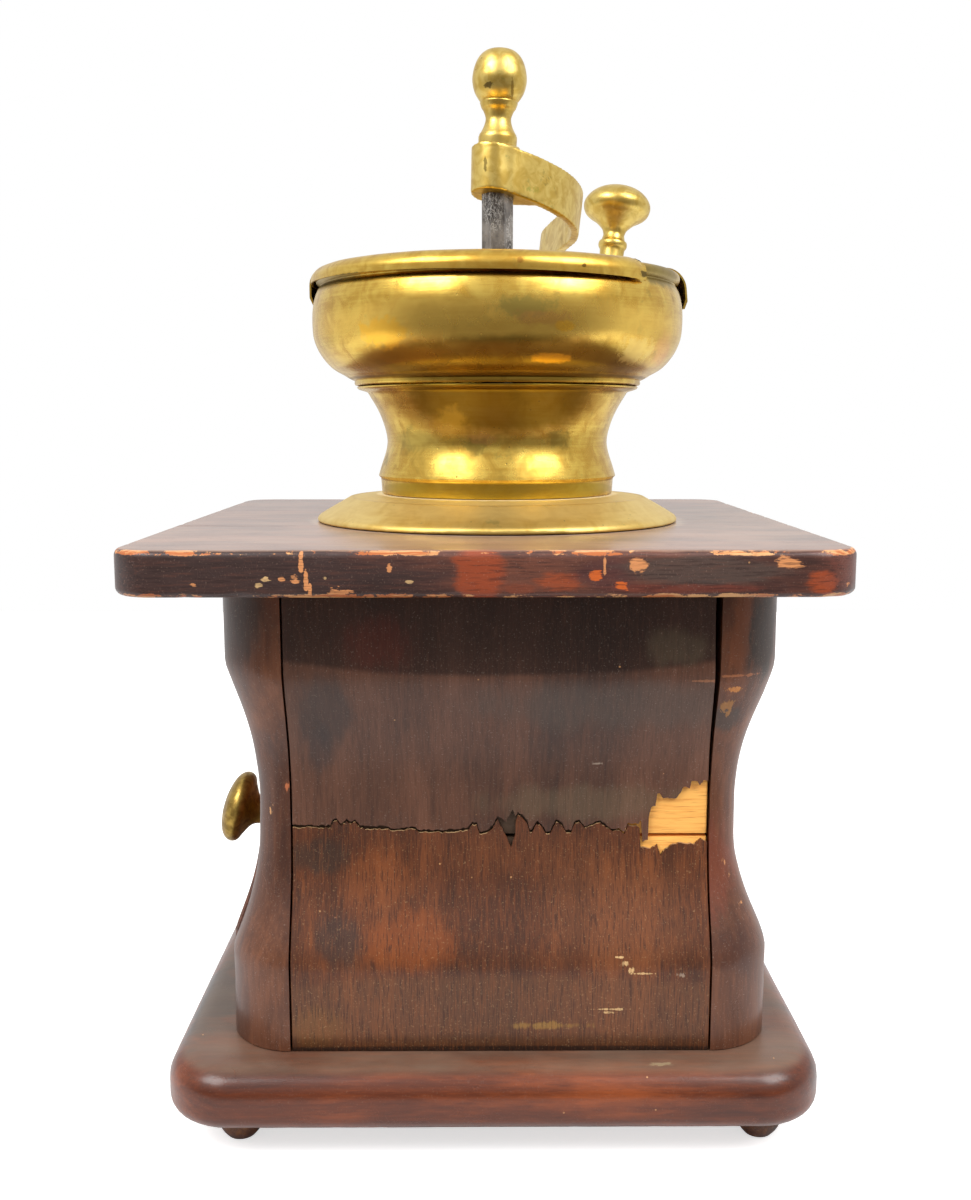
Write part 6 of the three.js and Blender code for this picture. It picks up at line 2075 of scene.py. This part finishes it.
    def build(self) -> None:
        """Builds the crank, its nut and its grip."""
        self.arm()
        self.grip()
        self.nut()
        dress("main_shaft", self.finishes.shaft_iron, 0.4)


def joined_objects(first: Piece, second: Piece) -> Piece:
    """Puts the second object's mesh into the first, and removes the second."""
    together = bmesh.new()
    together.from_mesh(first.data)
    together.from_mesh(second.data)
    together.to_mesh(first.data)
    together.free()
    bpy.data.objects.remove(second)
    return first


@dataclass
class GrindingGear:
    """The burrs, bearings and adjusting screw, which keep their CAD shapes."""

    finishes: Finishes

    def build(self) -> None:
        """Dresses the gear."""
        for node in ("burr_housing", "ring_burr", "cone_burr", "bearing_bridge", "lower_bearing_bar"):
            dress(node, self.finishes.iron)
        kinds = ("housing_screw", "bridge_screw", "bar_screw")
        screws = [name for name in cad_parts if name.startswith(kinds)]
        for node in sorted(screws) + ["cone_burr_pin", "thrust_pin", "adjusting_screw", "lock_nut"]:
            dress(node, self.finishes.steel)


# Studio

@dataclass
class Studio:
    """The floor, the light and the camera at the photograph's place. Sizes are in millimetres."""

    camera_place: Triple = (-6.47, -415.63, 211.46)
    camera_pitch: float = 8.475
    camera_yaw: float = 0.354
    camera_lens: float = 36.593
    camera_sensor: float = 36.0
    floor_front: float = -235.0
    floor_back: float = 900.0
    floor_side: float = 700.0
    lamp_distance: float = 1250.0
    lamp_size: float = 620.0
    lamp_power: float = 11.0
    lamp_turn: float = 48.0
    lamp_rise: float = 44.0
    room_dark: float = 0.3
    room_bright: float = 1.0
    room_light: float = 0.85
    room_tint: Triple = (1, 0.92, 0.85)
    floor_white: float = 0.84
    floor_glow: float = 0.62
    floor_drop: float = 0.2

    def camera(self) -> None:
        """Sets up the camera."""
        data = bpy.data.cameras.new("camera")
        data.lens = self.camera_lens
        data.sensor_width = self.camera_sensor
        data.sensor_fit = "AUTO"
        camera = bpy.data.objects.new("camera", data)
        camera.location = (AXIS + Vector(self.camera_place)) * MM
        pitch, yaw = math.radians(90 - self.camera_pitch), math.radians(-self.camera_yaw)
        camera.rotation_euler = Euler((pitch, 0, yaw))
        bpy.context.scene.collection.objects.link(camera)
        bpy.context.scene.camera = camera

    def floor(self) -> None:
        """The white floor, which keeps the mill's soft shadow."""
        corners = [(-self.floor_side, self.floor_front, 0), (self.floor_side, self.floor_front, 0),
                   (self.floor_side, self.floor_back, 0), (-self.floor_side, self.floor_back, 0)]
        draft = Draft()
        draft.faces.append(tuple(draft.ring(corners)))
        white = Surface.named("white floor")
        light = white.add("ShaderNodeLightPath")
        cloth = white.add("ShaderNodeBsdfDiffuse", None, {"Color": (self.floor_white,) * 3 + (1,)})
        glow = white.add("ShaderNodeEmission", None, {"Color": (1, 1, 1, 1), "Strength": self.floor_glow})
        lit = white.add("ShaderNodeAddShader", None, {0: cloth.outputs[0], 1: glow.outputs[0]})
        sees = Signal(white, light.outputs["Is Camera Ray"])
        mixed = white.add("ShaderNodeMixShader", None, {0: sees, 1: cloth.outputs[0], 2: lit.outputs[0]})
        white.add("ShaderNodeOutputMaterial", None, {"Surface": mixed.outputs[0]})
        floor = draft.piece("floor", white.holder)
        floor.location.z = -self.floor_drop * MM

    def room(self) -> None:
        """The room: white to the camera, bright behind and above the mill, dark low in front."""
        world = bpy.data.worlds.new("room")
        bpy.context.scene.world = world
        room = Surface(world)
        direction = room.add("ShaderNodeTexCoord").outputs["Generated"]
        frontness = room.axis("Y", direction) * -1.0
        rise = room.axis("Z", direction)
        dark = frontness.between(0.0, 0.75) * rise.between(0.5, 0.05)
        shade = tuple(self.room_dark * share for share in self.room_tint) + (1,)
        dim = room.mix(dark, (self.room_bright,) * 3 + (1,), shade)
        light = room.add("ShaderNodeLightPath")
        through = Signal(room, light.outputs["Is Transmission Ray"])
        seen = Signal(room, light.outputs["Is Camera Ray"]).highest(through)
        around = room.add("ShaderNodeBackground", None, {"Color": dim, "Strength": self.room_light})
        white = room.add("ShaderNodeBackground", None, {"Color": (1, 1, 1, 1), "Strength": 1.0})
        mixed = room.add("ShaderNodeMixShader", None, {0: seen, 1: around.outputs[0], 2: white.outputs[0]})
        room.add("ShaderNodeOutputWorld", None, {"Surface": mixed.outputs[0]})

    def lamps(self) -> None:
        """The two soft lamps in front of the mill, to the left and the right."""
        aim = Vector((AXIS.x, AXIS.y, DECK))
        for name, side in (("left lamp", -1), ("right lamp", 1)):
            data = bpy.data.lights.new(name, "AREA")
            data.shape = "SQUARE"
            data.size = self.lamp_size * MM
            data.energy = self.lamp_power
            turn, rise = math.radians(self.lamp_turn * side), math.radians(self.lamp_rise)
            flat = math.cos(rise)
            back = Vector((math.sin(turn) * flat, -math.cos(turn) * flat, math.sin(rise)))
            lamp = bpy.data.objects.new(name, data)
            lamp.location = (aim + back * self.lamp_distance) * MM
            lamp.rotation_euler = (-back).to_track_quat("-Z", "Y").to_euler()
            bpy.context.scene.collection.objects.link(lamp)

    def build(self) -> None:
        """Builds the studio."""
        bpy.context.scene.view_settings.view_transform = "Standard"
        self.camera()
        self.floor()
        self.room()
        self.lamps()


def main() -> None:
    """Builds the studio and the mill, one sub-assembly after another."""
    logging.basicConfig(level=logging.INFO, format="%(name)s %(relativeCreated)d ms %(message)s")
    finishes = Finishes()
    Studio().build()
    for part in (Boards, Case, Drawer, Hopper, Lid, Crank, GrindingGear):
        part(finishes).build()


if __name__ == "__main__":
    main()
